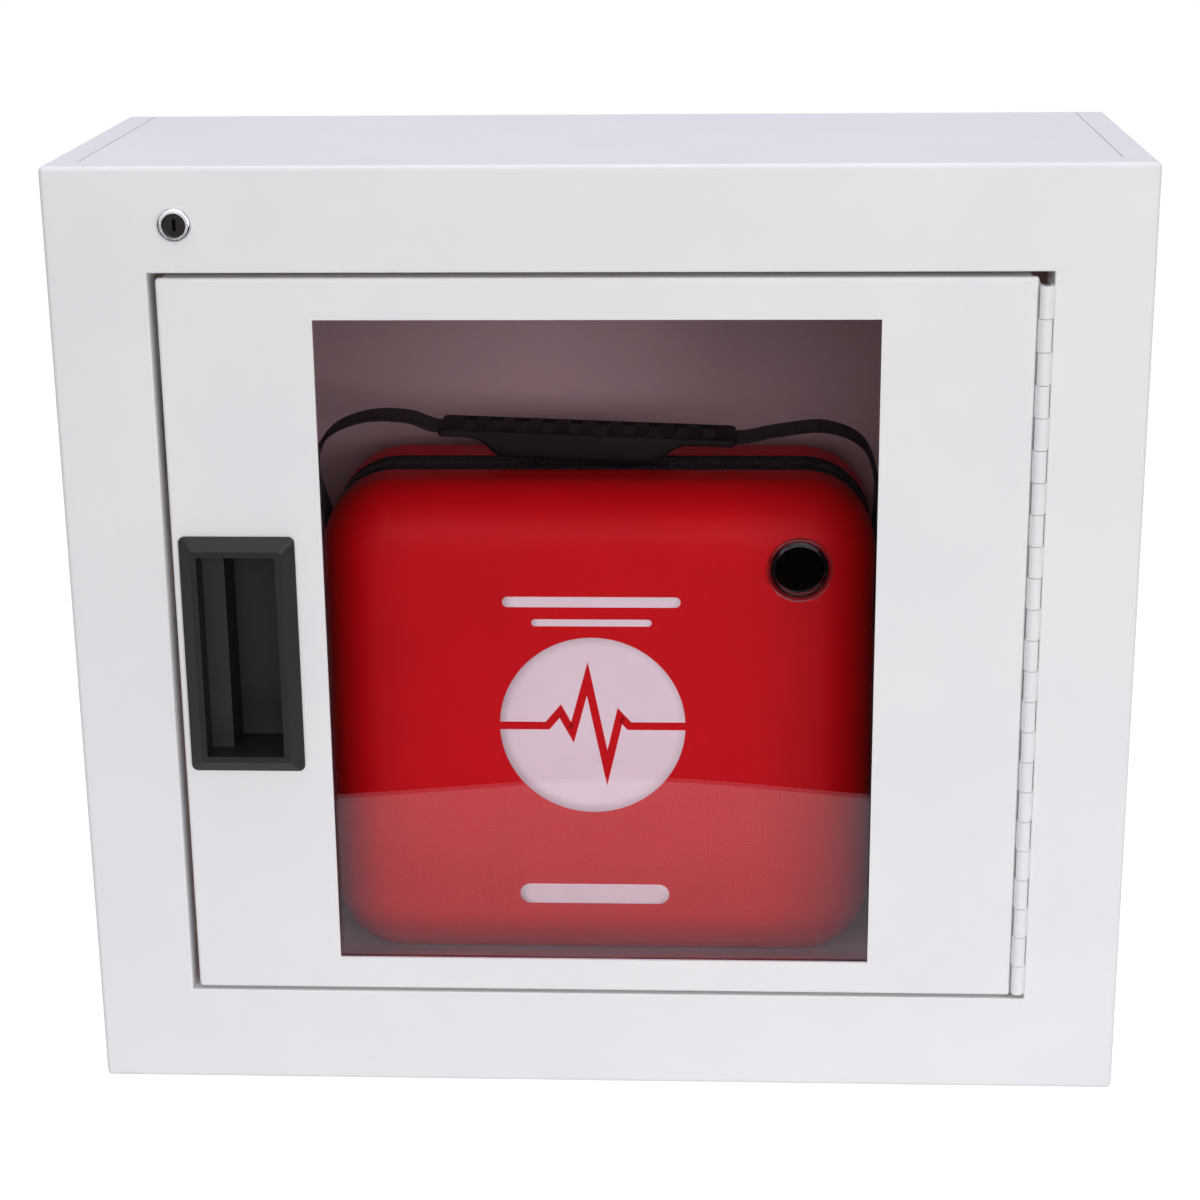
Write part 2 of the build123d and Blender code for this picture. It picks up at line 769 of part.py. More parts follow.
with BuildPart() as door_sensor:
    with BuildSketch(front_plane(catch_front)):
        with Locations((opening_left, sensor_z)):
            Rectangle(sensor_width, sensor_length, align=(Align.MIN, Align.CENTER))
    extrude(amount=-sensor_depth)
save(door_sensor, "door_sensor")

with BuildPart() as sensor_magnet:
    with BuildSketch(front_plane(door_return - sensor_depth)):
        with Locations((strike_left, sensor_z)):
            Rectangle(sensor_width, sensor_length, align=(Align.MIN, Align.CENTER))
    extrude(amount=-sensor_depth + catch_gap)
save(sensor_magnet, "sensor_magnet")

# ================================================================ key switch
with BuildPart() as lock_body:
    with BuildSketch(front_plane(0)):
        with Locations((lock_x, lock_z)):
            Circle(lock_head_radius)
    extrude(amount=lock_head_height)
    fillet(lock_body.edges().sort_by(Axis.Y)[0], lock_head_height / 2)
    with BuildSketch(front_plane(0)):
        with Locations((lock_x, lock_z)):
            Circle(lock_radius)
    extrude(amount=-lock_length)
    with BuildSketch(front_plane(-lock_head_height)):
        with Locations((lock_x, lock_z)):
            Circle(plug_radius + plug_clearance)
    extrude(amount=-lock_length - lock_head_height, mode=Mode.SUBTRACT)
save(lock_body, "lock_body")

plug_end = lock_length + plug_stub
with BuildPart() as lock_plug:
    with BuildSketch(front_plane(plug_recess - lock_head_height)):
        with Locations((lock_x, lock_z)):
            Circle(plug_radius)
    extrude(amount=plug_recess - lock_head_height - plug_end)
    with BuildSketch(front_plane(-lock_head_height)):
        with Locations((lock_x, lock_z)):
            Rectangle(key_slot_width, key_slot_height)
    extrude(amount=-key_slot_depth, mode=Mode.SUBTRACT)
save(lock_plug, "lock_plug")

with BuildPart() as lock_cam:
    with BuildSketch(front_plane(plug_end)):
        with Locations((lock_x, lock_z)):
            Circle(cam_hub_radius)
        with Locations((lock_x, lock_z + cam_length / 2)):
            RectangleRounded(cam_width, cam_length, cam_corner)
    extrude(amount=-cam_thickness)
save(lock_cam, "lock_cam")

nut_front = sheet + alarm_wall
with BuildPart() as lock_nut:
    with BuildSketch(front_plane(nut_front)):
        with Locations((lock_x, lock_z)):
            RegularPolygon(lock_nut_across_flats / 2, 6, major_radius=False)
            Circle(lock_radius, mode=Mode.SUBTRACT)
    extrude(amount=-lock_nut_thickness)
save(lock_nut, "lock_nut")

# ================================================================ door alarm
alarm_left = -half_width + alarm_side_gap
alarm_right = alarm_left + alarm_width
alarm_bottom = opening_top + sheet + alarm_gap_above_opening
alarm_top = alarm_bottom + alarm_height
alarm_back = sheet + alarm_depth
alarm_centre = ((alarm_left + alarm_right) / 2, (alarm_bottom + alarm_top) / 2)
inner_left = alarm_left + alarm_wall
inner_right = alarm_right - alarm_wall
inner_bottom = alarm_bottom + alarm_wall
inner_top = alarm_top - alarm_wall
long_boss = (inner_left + boss_radius, inner_bottom + boss_radius)
short_boss = (inner_right - boss_radius, alarm_centre[1])
siren_place = (inner_left + siren_radius + siren_wall_gap, alarm_centre[1])
siren_holes = [
    (siren_place[0] + across * siren_hole_pitch, siren_place[1] + up * siren_hole_pitch)
    for across in (-1, 0, 1)
    for up in (-1, 0, 1)
]
with BuildPart() as alarm_housing:
    with BuildSketch(front_plane(sheet)):
        with Locations(alarm_centre):
            RectangleRounded(alarm_width, alarm_height, alarm_wall)
    extrude(amount=-alarm_depth)
    with BuildSketch(front_plane(nut_front)):
        with Locations(alarm_centre):
            Rectangle(alarm_width - 2 * alarm_wall, alarm_height - 2 * alarm_wall)
    extrude(amount=-alarm_depth, mode=Mode.SUBTRACT)
    with BuildSketch(front_plane(nut_front)):
        with Locations(long_boss):
            Circle(boss_radius + boss_wall_lap)
    extrude(amount=alarm_wall - alarm_depth)
    with BuildSketch(front_plane(alarm_back - screw_length)):
        with Locations(short_boss):
            Circle(boss_radius + boss_wall_lap)
    extrude(amount=-screw_length)
    with BuildSketch(front_plane(alarm_back - screw_length + alarm_wall)):
        with Locations(long_boss, short_boss):
            Circle(screw_radius)
    extrude(amount=-screw_length, mode=Mode.SUBTRACT)
    with BuildSketch(front_plane(0)):
        with Locations((lock_x, lock_z)):
            Circle(lock_radius + lock_hole_clearance)
    extrude(amount=-2 * nut_front, mode=Mode.SUBTRACT)
save(alarm_housing, "alarm_housing")

board_place = (inner_right - battery_width / 2, alarm_centre[1])
with BuildPart() as alarm_cover:
    with BuildSketch(front_plane(alarm_back)):
        with Locations(alarm_centre):
            RectangleRounded(alarm_width, alarm_height, alarm_wall)
        with Locations(long_boss, short_boss):
            Circle(screw_radius, mode=Mode.SUBTRACT)
        with Locations(siren_holes):
            Circle(siren_hole_radius, mode=Mode.SUBTRACT)
    extrude(amount=-alarm_wall)
    with BuildSketch(front_plane(alarm_back - board_gap)):
        with Locations(board_place):
            with GridLocations(board_post_span_x, board_post_span_z, 2, 2):
                Circle(board_post_radius)
    extrude(amount=-board_gap)
save(alarm_cover, "alarm_cover")

with BuildPart() as alarm_screws:
    with BuildSketch(front_plane(alarm_back + alarm_wall)):
        with Locations(long_boss, short_boss):
            Circle(screw_head_radius)
    extrude(amount=-screw_head_height)
    with BuildSketch(front_plane(alarm_back + 2 * alarm_wall - screw_length)):
        with Locations(long_boss, short_boss):
            Circle(screw_radius)
    extrude(amount=alarm_wall - screw_length)
save(alarm_screws, "alarm_screws")

with BuildPart() as alarm_board:
    with BuildSketch(front_plane(alarm_back - board_gap - board_thickness)):
        with Locations(board_place):
            Rectangle(board_width, battery_height)
    extrude(amount=-board_thickness)
save(alarm_board, "alarm_board")

with BuildPart() as alarm_battery:
    with BuildSketch(front_plane(nut_front)):
        with Locations((inner_right - battery_width / 2, inner_bottom + battery_height / 2)):
            RectangleRounded(battery_width, battery_height, battery_corner)
    extrude(amount=-battery_thickness)
save(alarm_battery, "alarm_battery")

with BuildPart() as alarm_siren:
    with BuildSketch(front_plane(alarm_back - siren_height)):
        with Locations(siren_place):
            Circle(siren_radius)
    extrude(amount=-siren_height)
save(alarm_siren, "alarm_siren")

with BuildPart() as alarm_switch:
    with BuildSketch(front_plane(plug_end - switch_depth / 2)):
        with Locations((lock_x, inner_top - switch_height / 2)):
            Rectangle(switch_width, switch_height)
    extrude(amount=-switch_depth)
save(alarm_switch, "alarm_switch")

wire_x = opening_left + sensor_width / 2
wire_start_y = front_y + catch_front + sensor_depth
wire_run_y = front_y + opening_return + wire_clear
with BuildPart() as sensor_wire:
    with BuildLine(Plane.YZ.offset(wire_x)):
        FilletPolyline(
            (wire_start_y, sensor_z),
            (wire_run_y, sensor_z),
            (wire_run_y, alarm_bottom),
            radius=wire_bend,
        )
    with BuildSketch(Plane(origin=(wire_x, wire_start_y, sensor_z), z_dir=(0, 1, 0))):
        Circle(wire_radius)
    sweep()
save(sensor_wire, "sensor_wire")

# ================================================================ carry case
status_place = (status_x, status_z)
with BuildPart() as case_front_shell:
    add(soft_block(case_front, rim_depth, case_width, case_height, case_corner, near_edge=lid_edge))
    add(
        soft_block(
            lid_inside,
            rim_depth + case_wall,
            case_width - 2 * case_wall,
            case_height - 2 * case_wall,
            case_corner - case_wall,
            near_edge=lid_edge - case_wall,
        ),
        mode=Mode.SUBTRACT,
    )
    with BuildSketch(front_plane(case_front)):
        with Locations(status_place):
            Circle(grommet_sleeve_radius)
    extrude(amount=-2 * case_wall, mode=Mode.SUBTRACT)
save(case_front_shell, "case_front_shell")

with BuildPart() as case_back_shell:
    add(soft_block(gusset_back, case_back, case_width, case_height, case_corner, far_edge=back_edge))
    add(
        soft_block(
            gusset_back - case_wall,
            case_back - case_wall,
            case_width - 2 * case_wall,
            case_height - 2 * case_wall,
            case_corner - case_wall,
            far_edge=back_edge - case_wall,
        ),
        mode=Mode.SUBTRACT,
    )
save(case_back_shell, "case_back_shell")

rivet_heights = (case_top - anchor_below_top + anchor_rivet_rise, case_top - anchor_below_top + 3 * anchor_rivet_rise)
anchor_places = [
    (band_mid_y + side * (zip_width / 2 + anchor_rivet_radius + anchor_rivet_zip_gap), height)
    for side in (-1, 1)
    for height in rivet_heights
]
with BuildPart() as case_gusset:
    with BuildSketch(front_plane(rim_depth)):
        with Locations(case_centre):
            RectangleRounded(band_width, band_height, band_corner)
            RectangleRounded(
                band_width - 2 * gusset_thickness,
                band_height - 2 * gusset_thickness,
                band_corner - gusset_thickness,
                mode=Mode.SUBTRACT,
            )
    extrude(amount=-gusset_depth)
    with BuildSketch(Plane.YZ.offset(case_x - band_width)):
        with Locations(anchor_places):
            Circle(anchor_rivet_radius)
    extrude(amount=2 * band_width, mode=Mode.SUBTRACT)
save(case_gusset, "case_gusset")

with BuildPart() as zip_teeth:
    with BuildSketch(front_plane(rim_depth + (gusset_depth - zip_width) / 2)):
        with Locations(case_centre):
            RectangleRounded(band_width + 2 * zip_proud, band_height + 2 * zip_proud, band_corner + zip_proud)
            RectangleRounded(band_width, band_height, band_corner, mode=Mode.SUBTRACT)
    extrude(amount=-zip_width)
save(zip_teeth, "zip_teeth")

with BuildPart() as status_grommet:
    with BuildSketch(front_plane(case_front)):
        with Locations(status_place):
            Circle(grommet_radius)
    extrude(amount=grommet_flange)
    fillet(status_grommet.edges().sort_by(Axis.Y)[0], grommet_flange / 2)
    with BuildSketch(front_plane(case_front)):
        with Locations(status_place):
            Circle(grommet_sleeve_radius)
    extrude(amount=-case_wall)
    with BuildSketch(front_plane(case_front - grommet_flange)):
        with Locations(status_place):
            Circle(grommet_bore_radius)
    extrude(amount=-2 * case_wall, mode=Mode.SUBTRACT)
save(status_grommet, "status_grommet")

with BuildPart() as status_lens:
    with BuildSketch(front_plane(case_front + grommet_flange)):
        with Locations(status_place):
            Circle(grommet_bore_radius)
    extrude(amount=-grommet_flange)
save(status_lens, "status_lens")

# ---------------------------------------------------------------- zip slider and its pull tab
zip_face_x = case_x + band_width / 2 + zip_proud
slider_face_x = zip_face_x + slider_clearance + slider_plate
pin_x = slider_face_x + zip_pin_offset
lip = (slider_width - zip_width) / 2 - slider_clearance
with BuildPart() as zip_slider:
    with BuildSketch(Plane.XY.offset(slider_z - slider_length / 2)):
        with Locations((slider_face_x, band_mid_y)):
            Rectangle(slider_plate, slider_width, align=(Align.MAX, Align.CENTER))
        for side in (-1, 1):
            with Locations((slider_face_x, band_mid_y + side * (slider_width - lip) / 2)):
                Rectangle(slider_plate + zip_proud, lip, align=(Align.MAX, Align.CENTER))
    extrude(amount=slider_length)
    with BuildSketch(Plane.XY.offset(slider_z - slider_ear_height)):
        for side in (-1, 1):
            with Locations((slider_face_x, band_mid_y + side * (zip_tab_neck / 2 + slider_clearance))):
                ear_align = (Align.MIN, Align.MAX if side < 0 else Align.MIN)
                Rectangle(zip_pin_offset + zip_tab_barrel_radius, slider_ear, align=ear_align)
    extrude(amount=2 * slider_ear_height)
    with BuildSketch(Plane.XZ.offset(-band_mid_y - slider_width)):
        with Locations((pin_x, slider_z)):
            Circle(zip_pin_radius)
    extrude(amount=2 * slider_width, mode=Mode.SUBTRACT)
save(zip_slider, "zip_slider")

pin_length = zip_tab_neck + 2 * (slider_clearance + slider_ear)
with BuildPart() as zip_pin:
    with BuildSketch(Plane.XZ.offset(-band_mid_y - pin_length / 2)):
        with Locations((pin_x, slider_z)):
            Circle(zip_pin_radius)
    extrude(amount=pin_length)
save(zip_pin, "zip_pin")

with BuildPart() as zip_tab:
    with BuildSketch(Plane.XZ.offset(-band_mid_y - zip_tab_neck / 2)):
        with Locations((pin_x, slider_z)):
            Circle(zip_tab_barrel_radius)
    extrude(amount=zip_tab_neck)
    with BuildSketch(Plane.YZ.offset(pin_x - zip_tab_thickness / 2)):
        with Locations((band_mid_y, slider_z - zip_tab_length / 4)):
            Rectangle(zip_tab_neck, zip_tab_length / 2)
        with Locations((band_mid_y, slider_z - zip_tab_length * (1 - zip_tab_blade_share / 2))):
            RectangleRounded(zip_tab_width, zip_tab_length * zip_tab_blade_share, zip_tab_corner)
    extrude(amount=zip_tab_thickness)
    with BuildSketch(Plane.XZ.offset(-band_mid_y - zip_tab_neck)):
        with Locations((pin_x, slider_z)):
            Circle(zip_pin_radius + zip_pin_clearance)
    extrude(amount=2 * zip_tab_neck, mode=Mode.SUBTRACT)
save(zip_tab, "zip_tab")

# ================================================================ carry strap and its grip
strap_side = band_width / 2 + zip_proud + strap_gap + strap_thickness / 2
strap_left = case_x - strap_side
strap_right = case_x + strap_side
anchor_z = case_top - anchor_below_top
grip_left_end = (case_x - case_width / 2 + grip_end_left, case_top + grip_rise_left)
grip_right_end = (grip_left_end[0] + grip_length, case_top + grip_rise_right)
grip_middle = ((grip_left_end[0] + grip_right_end[0]) / 2, (grip_left_end[1] + grip_right_end[1]) / 2)
left_loop = [(strap_left + across, case_top + up) for across, up in left_bight] + [grip_left_end]
right_loop = [grip_right_end] + [(strap_right + across, case_top + up) for across, up in right_bight]
strap_start_y = band_mid_y - strap_width / 2
with BuildPart() as carry_strap:
    with BuildSketch(Plane.XZ.offset(-strap_start_y)):
        with BuildLine():
            Line((strap_left, anchor_z), left_loop[0])
            Spline(
                *left_loop,
                tangents=[(0, 1), (grip_right_end[0] - grip_left_end[0], grip_right_end[1] - grip_left_end[1])],
            )
            Line(grip_left_end, grip_right_end)
            Spline(
                *right_loop,
                tangents=[(grip_right_end[0] - grip_left_end[0], grip_right_end[1] - grip_left_end[1]), (0, -1)],
            )
            Line(right_loop[-1], (strap_right, anchor_z))
        trace(line_width=strap_thickness)
    extrude(amount=-strap_width)
    with BuildSketch(Plane.YZ.offset(case_x - case_width)):
        with Locations(anchor_places):
            Circle(anchor_rivet_radius)
    extrude(amount=2 * case_width, mode=Mode.SUBTRACT)
save(carry_strap, "carry_strap")

strap_face_right = strap_right + strap_thickness / 2
strap_face_left = strap_left - strap_thickness / 2
with BuildPart() as strap_rivets:
    for start_x, way in ((strap_face_right, 1), (strap_face_left, -1)):
        with BuildSketch(Plane.YZ.offset(start_x)):
            with Locations(anchor_places):
                Circle(anchor_rivet_head_radius)
        extrude(amount=way * rivet_head_height)
        with BuildSketch(Plane.YZ.offset(start_x)):
            with Locations(anchor_places):
                Circle(anchor_rivet_radius)
        extrude(amount=-way * (strap_thickness + strap_gap + zip_proud + gusset_thickness))
save(strap_rivets, "strap_rivets")

grip_plane = Plane(
    origin=(grip_middle[0], band_mid_y, grip_middle[1]),
    x_dir=(grip_right_end[0] - grip_left_end[0], 0, grip_right_end[1] - grip_left_end[1]),
    z_dir=(0, -1, 0),
)
groove_places = [
    (grip_groove_pitch * (n - (grip_groove_count - 1) / 2), grip_height / 2) for n in range(grip_groove_count)
]
with BuildPart() as strap_grip:
    with BuildSketch(grip_plane.offset(grip_width / 2)):
        RectangleRounded(grip_length, grip_height, grip_corner)
    extrude(amount=-grip_width)
    grip_long_edges = strap_grip.faces().filter_by(Axis.Y).edges()
    fillet(grip_long_edges, grip_edge)
    with BuildSketch(grip_plane.offset(grip_width / 2 - grip_edge)):
        with Locations((grip_belly_shift, -grip_height / 2)):
            Rectangle(grip_belly_length, 2 * grip_belly_depth)
    extrude(amount=2 * grip_edge - grip_width)
    with BuildSketch(grip_plane.offset(grip_width)):
        with Locations(groove_places):
            Rectangle(grip_groove_width, 2 * grip_groove_depth)
    extrude(amount=-2 * grip_width, mode=Mode.SUBTRACT)
    with BuildSketch(grip_plane.offset(strap_width / 2 + grip_slot_clearance)):
        Rectangle(2 * grip_length, strap_thickness)
    extrude(amount=-strap_width - 2 * grip_slot_clearance, mode=Mode.SUBTRACT)
save(strap_grip, "strap_grip")

# ================================================================ padding in the case
flat_width = case_width - 2 * lid_edge
flat_height = case_height - 2 * lid_edge
with BuildPart() as lid_pad:
    with BuildSketch(front_plane(lid_inside)):
        with Locations(case_centre):
            RectangleRounded(flat_width, flat_height, device_edge)
        with Locations(status_place):
            Circle(grommet_sleeve_radius, mode=Mode.SUBTRACT)
    extrude(amount=-lid_pad_thickness)
save(lid_pad, "lid_pad")

tray_width = case_width - 2 * case_wall - 2 * tray_clearance
tray_height = case_height - 2 * case_wall - 2 * tray_clearance
tray_corner = case_corner - case_wall - tray_clearance
with BuildPart() as case_tray:
    add(
        soft_block(
            rim_depth + tray_front_gap,
            case_back - case_wall,
            tray_width,
            tray_height,
            tray_corner,
            far_edge=back_edge - case_wall,
        )
    )
    with BuildSketch(front_plane(rim_depth)):
        with Locations(case_centre):
            RectangleRounded(
                device_width + 2 * tray_clearance,
                device_height + 2 * tray_clearance,
                device_corner + tray_clearance,
            )
    extrude(amount=rim_depth - device_back, mode=Mode.SUBTRACT)
save(case_tray, "case_tray")

# ================================================================ defibrillator
cartridge_centre = on_device(cartridge_place)
pocket_width = cartridge_width + 2 * cartridge_clearance
pocket_height = cartridge_height + 2 * cartridge_clearance
pocket_back = device_front + cartridge_depth + cartridge_wall
button_holes = (
    (on_device(shock_place), shock_radius),
    (on_device(on_place), on_radius),
    (on_device(info_place), info_radius),
)
with BuildPart() as device_front_housing:
    add(soft_block(device_front, device_split, device_width, device_height, device_corner, near_edge=device_edge))
    add(
        soft_block(
            device_front + device_wall,
            device_split + device_wall,
            device_width - 2 * device_wall,
            device_height - 2 * device_wall,
            device_corner - device_wall,
            near_edge=device_edge - device_wall,
        ),
        mode=Mode.SUBTRACT,
    )
    with BuildSketch(front_plane(device_front + device_wall)):
        with Locations(cartridge_centre):
            RectangleRounded(pocket_width + 2 * cartridge_wall, pocket_height + 2 * cartridge_wall, cartridge_wall)
    extrude(amount=device_front + device_wall - pocket_back)
    with BuildSketch(front_plane(device_front)):
        with Locations(cartridge_centre):
            Rectangle(pocket_width, pocket_height)
    extrude(amount=-cartridge_depth, mode=Mode.SUBTRACT)
    for place, radius in button_holes:
        with BuildSketch(front_plane(device_front)):
            with Locations(place):
                Circle(radius + button_clearance)
        extrude(amount=-2 * device_wall, mode=Mode.SUBTRACT)
    with BuildSketch(front_plane(device_front)):
        with Locations(on_device(light_place)):
            Circle(light_radius)
    extrude(amount=-2 * device_wall, mode=Mode.SUBTRACT)
    with BuildSketch(front_plane(device_front)):
        with Locations(on_device(speaker_place)):
            with GridLocations(speaker_hole_pitch, speaker_hole_pitch, speaker_hole_rows, speaker_hole_rows):
                Circle(siren_hole_radius)
    extrude(amount=-2 * device_wall, mode=Mode.SUBTRACT)
save(device_front_housing, "device_front_housing")

with BuildPart() as device_rear_housing:
    add(soft_block(device_split, device_back, device_width, device_height, device_corner))
    add(
        soft_block(
            device_split - device_wall,
            device_back - device_wall,
            device_width - 2 * device_wall,
            device_height - 2 * device_wall,
            device_corner - device_wall,
        ),
        mode=Mode.SUBTRACT,
    )
    with BuildSketch(front_plane(device_back - pack_depth - device_wall)):
        with Locations(on_device(pack_place)):
            Rectangle(
                pack_width + 2 * (pack_clearance + device_wall),
                pack_height + 2 * (pack_clearance + device_wall),
            )
    extrude(amount=-pack_depth)
    with BuildSketch(front_plane(device_back - pack_depth)):
        with Locations(on_device(pack_place)):
            Rectangle(pack_width + 2 * pack_clearance, pack_height + 2 * pack_clearance)
    extrude(amount=-pack_depth, mode=Mode.SUBTRACT)
save(device_rear_housing, "device_rear_housing")

with BuildPart() as battery_pack:
    with BuildSketch(front_plane(device_back - pack_depth)):
        with Locations(on_device(pack_place)):
            RectangleRounded(pack_width, pack_height, device_wall)
    extrude(amount=-pack_depth)
save(battery_pack, "battery_pack")

handle_place = (cartridge_centre[0], cartridge_centre[1] - cartridge_height / 2 + cartridge_handle_height)
with BuildPart() as pads_cartridge:
    with BuildSketch(front_plane(device_front)):
        with Locations(cartridge_centre):
            RectangleRounded(cartridge_width, cartridge_height, cartridge_wall)
    extrude(amount=-cartridge_depth)
    with BuildSketch(front_plane(device_front)):
        with Locations(handle_place):
            RectangleRounded(
                cartridge_handle_width + 2 * cartridge_wall,
                cartridge_handle_height + 2 * cartridge_wall,
                cartridge_wall,
            )
    extrude(amount=-cartridge_depth / 2, mode=Mode.SUBTRACT)
save(pads_cartridge, "pads_cartridge")

with BuildPart() as cartridge_handle:
    with BuildSketch(front_plane(device_front)):
        with Locations(handle_place):
            RectangleRounded(cartridge_handle_width, cartridge_handle_height, cartridge_wall)
    extrude(amount=-cartridge_depth / 2)
    with BuildSketch(front_plane(device_front)):
        with Locations((handle_place[0], handle_place[1] + cartridge_wall)):
            Rectangle(finger_slot_width, finger_slot_height)
    extrude(amount=-cartridge_depth / 3, mode=Mode.SUBTRACT)
save(cartridge_handle, "cartridge_handle")


def press_button(place, radius):
    """A button cap through the front wall, held in by a flange that rests on the wall's inner side."""
    with BuildPart() as button:
        with BuildSketch(front_plane(device_front - button_proud)):
            with Locations(place):
                Circle(radius)
        extrude(amount=-button_proud - device_wall)
        fillet(button.edges().sort_by(Axis.Y)[0], button_proud / 2)
        with BuildSketch(front_plane(device_front + device_wall)):
            with Locations(place):
                Circle(radius + button_flange)
        extrude(amount=-button_flange_thickness)
    return button


shock_button = press_button(*button_holes[0])
save(shock_button, "shock_button")
on_button = press_button(*button_holes[1])
save(on_button, "on_button")
info_button = press_button(*button_holes[2])
save(info_button, "info_button")

with BuildPart() as status_light:
    with BuildSketch(front_plane(device_front)):
        with Locations(on_device(light_place)):
            Circle(light_radius)
    extrude(amount=-2 * device_wall)
save(status_light, "status_light")

with BuildPart() as device_speaker:
    with BuildSketch(front_plane(device_front + device_wall)):
        with Locations(on_device(speaker_place)):
            Circle(speaker_radius)
    extrude(amount=-speaker_depth)
save(device_speaker, "device_speaker")

with BuildPart() as device_board:
    with BuildSketch(front_plane(pocket_back)):
        with Locations(device_centre):
            Rectangle(device_board_width, device_board_height)
    extrude(amount=-board_thickness)
save(device_board, "device_board")

capacitor_centre = on_device(capacitor_place)
capacitor_y = front_y + pocket_back + board_thickness + capacitor_radius
with BuildPart() as device_capacitor:
    with BuildSketch(Plane.YZ.offset(capacitor_centre[0] - capacitor_length / 2)):
        with Locations((capacitor_y, capacitor_centre[1])):
            Circle(capacitor_radius)
    extrude(amount=capacitor_length)
save(device_capacitor, "device_capacitor")
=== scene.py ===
"""Looks of a wall cabinet with a windowed door and a defibrillator in its red carry case.

Metres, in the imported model's frame: +X right seen from the front, +Y towards the wall, +Z up.
"""

import logging
import math
from dataclasses import dataclass
from enum import Enum
from typing import Any, Optional, Sequence

import bmesh
import bpy
import numpy as np
from mathutils import Matrix, Vector


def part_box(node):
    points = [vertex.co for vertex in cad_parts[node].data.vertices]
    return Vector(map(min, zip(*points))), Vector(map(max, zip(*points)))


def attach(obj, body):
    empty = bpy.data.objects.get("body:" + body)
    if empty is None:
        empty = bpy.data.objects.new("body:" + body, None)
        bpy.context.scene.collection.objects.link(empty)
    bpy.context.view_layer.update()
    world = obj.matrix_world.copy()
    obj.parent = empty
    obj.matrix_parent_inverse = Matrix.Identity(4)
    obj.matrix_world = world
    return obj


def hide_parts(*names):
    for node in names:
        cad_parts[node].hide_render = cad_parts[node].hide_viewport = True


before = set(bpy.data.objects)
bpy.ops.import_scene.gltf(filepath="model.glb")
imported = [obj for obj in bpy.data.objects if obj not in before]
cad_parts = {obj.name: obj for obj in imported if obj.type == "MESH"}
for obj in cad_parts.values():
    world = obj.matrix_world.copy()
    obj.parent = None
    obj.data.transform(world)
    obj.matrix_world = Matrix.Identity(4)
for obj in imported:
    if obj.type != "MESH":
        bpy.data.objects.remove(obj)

log = logging.getLogger("station")

MM = 0.001
# Radius of the status ring's sleeve, which passes through the front shell and the lid's pad.
STATUS_SLEEVE = 12 * MM
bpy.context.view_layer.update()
Array = np.ndarray


class Body(Enum):
    """The moving groups that a new piece can ride on."""

    CABINET = "cabinet"
    DOOR = "door"
    CASE = "case"


# ---------------------------------------------------------------- colour and nodes
def linear(hex_colour: str) -> tuple[float, float, float, float]:
    """Turns an sRGB hex colour into linear red, green, blue and alpha.

    Args:
        hex_colour: six hex digits, such as "d8d6da".

    Returns:
        The linear colour with an alpha of 1.
    """
    parts = [int(hex_colour[i : i + 2], 16) / 255 for i in (0, 2, 4)]
    red, green, blue = (c / 12.92 if c <= 0.04045 else ((c + 0.055) / 1.055) ** 2.4 for c in parts)
    return red, green, blue, 1.0


def add_node(
    tree: bpy.types.NodeTree,
    kind: str,
    inputs: Optional[dict[Any, Any]] = None,
    settings: Optional[dict[str, Any]] = None,
) -> bpy.types.Node:
    """Adds one node, with its settings, its input values and its links.

    Args:
        tree: the node tree that takes the node.
        kind: the node's type name.
        inputs: socket name or number to a value, or to the socket that feeds it.
        settings: property name to value.

    Returns:
        The new node.
    """
    node = tree.nodes.new(kind)
    for key, value in (settings or {}).items():
        setattr(node, key, value)
    for key, value in (inputs or {}).items():
        if isinstance(value, bpy.types.NodeSocket):
            tree.links.new(value, node.inputs[key])
        else:
            node.inputs[key].default_value = value
    return node


def new_tree(name: str) -> tuple[bpy.types.Material, bpy.types.NodeTree, bpy.types.Node]:
    """Makes an empty material.

    Args:
        name: the material's name.

    Returns:
        The material, its node tree and its output node.
    """
    material = bpy.data.materials.new(name)
    material.use_nodes = True
    tree = material.node_tree
    tree.nodes.clear()
    return material, tree, add_node(tree, "ShaderNodeOutputMaterial")


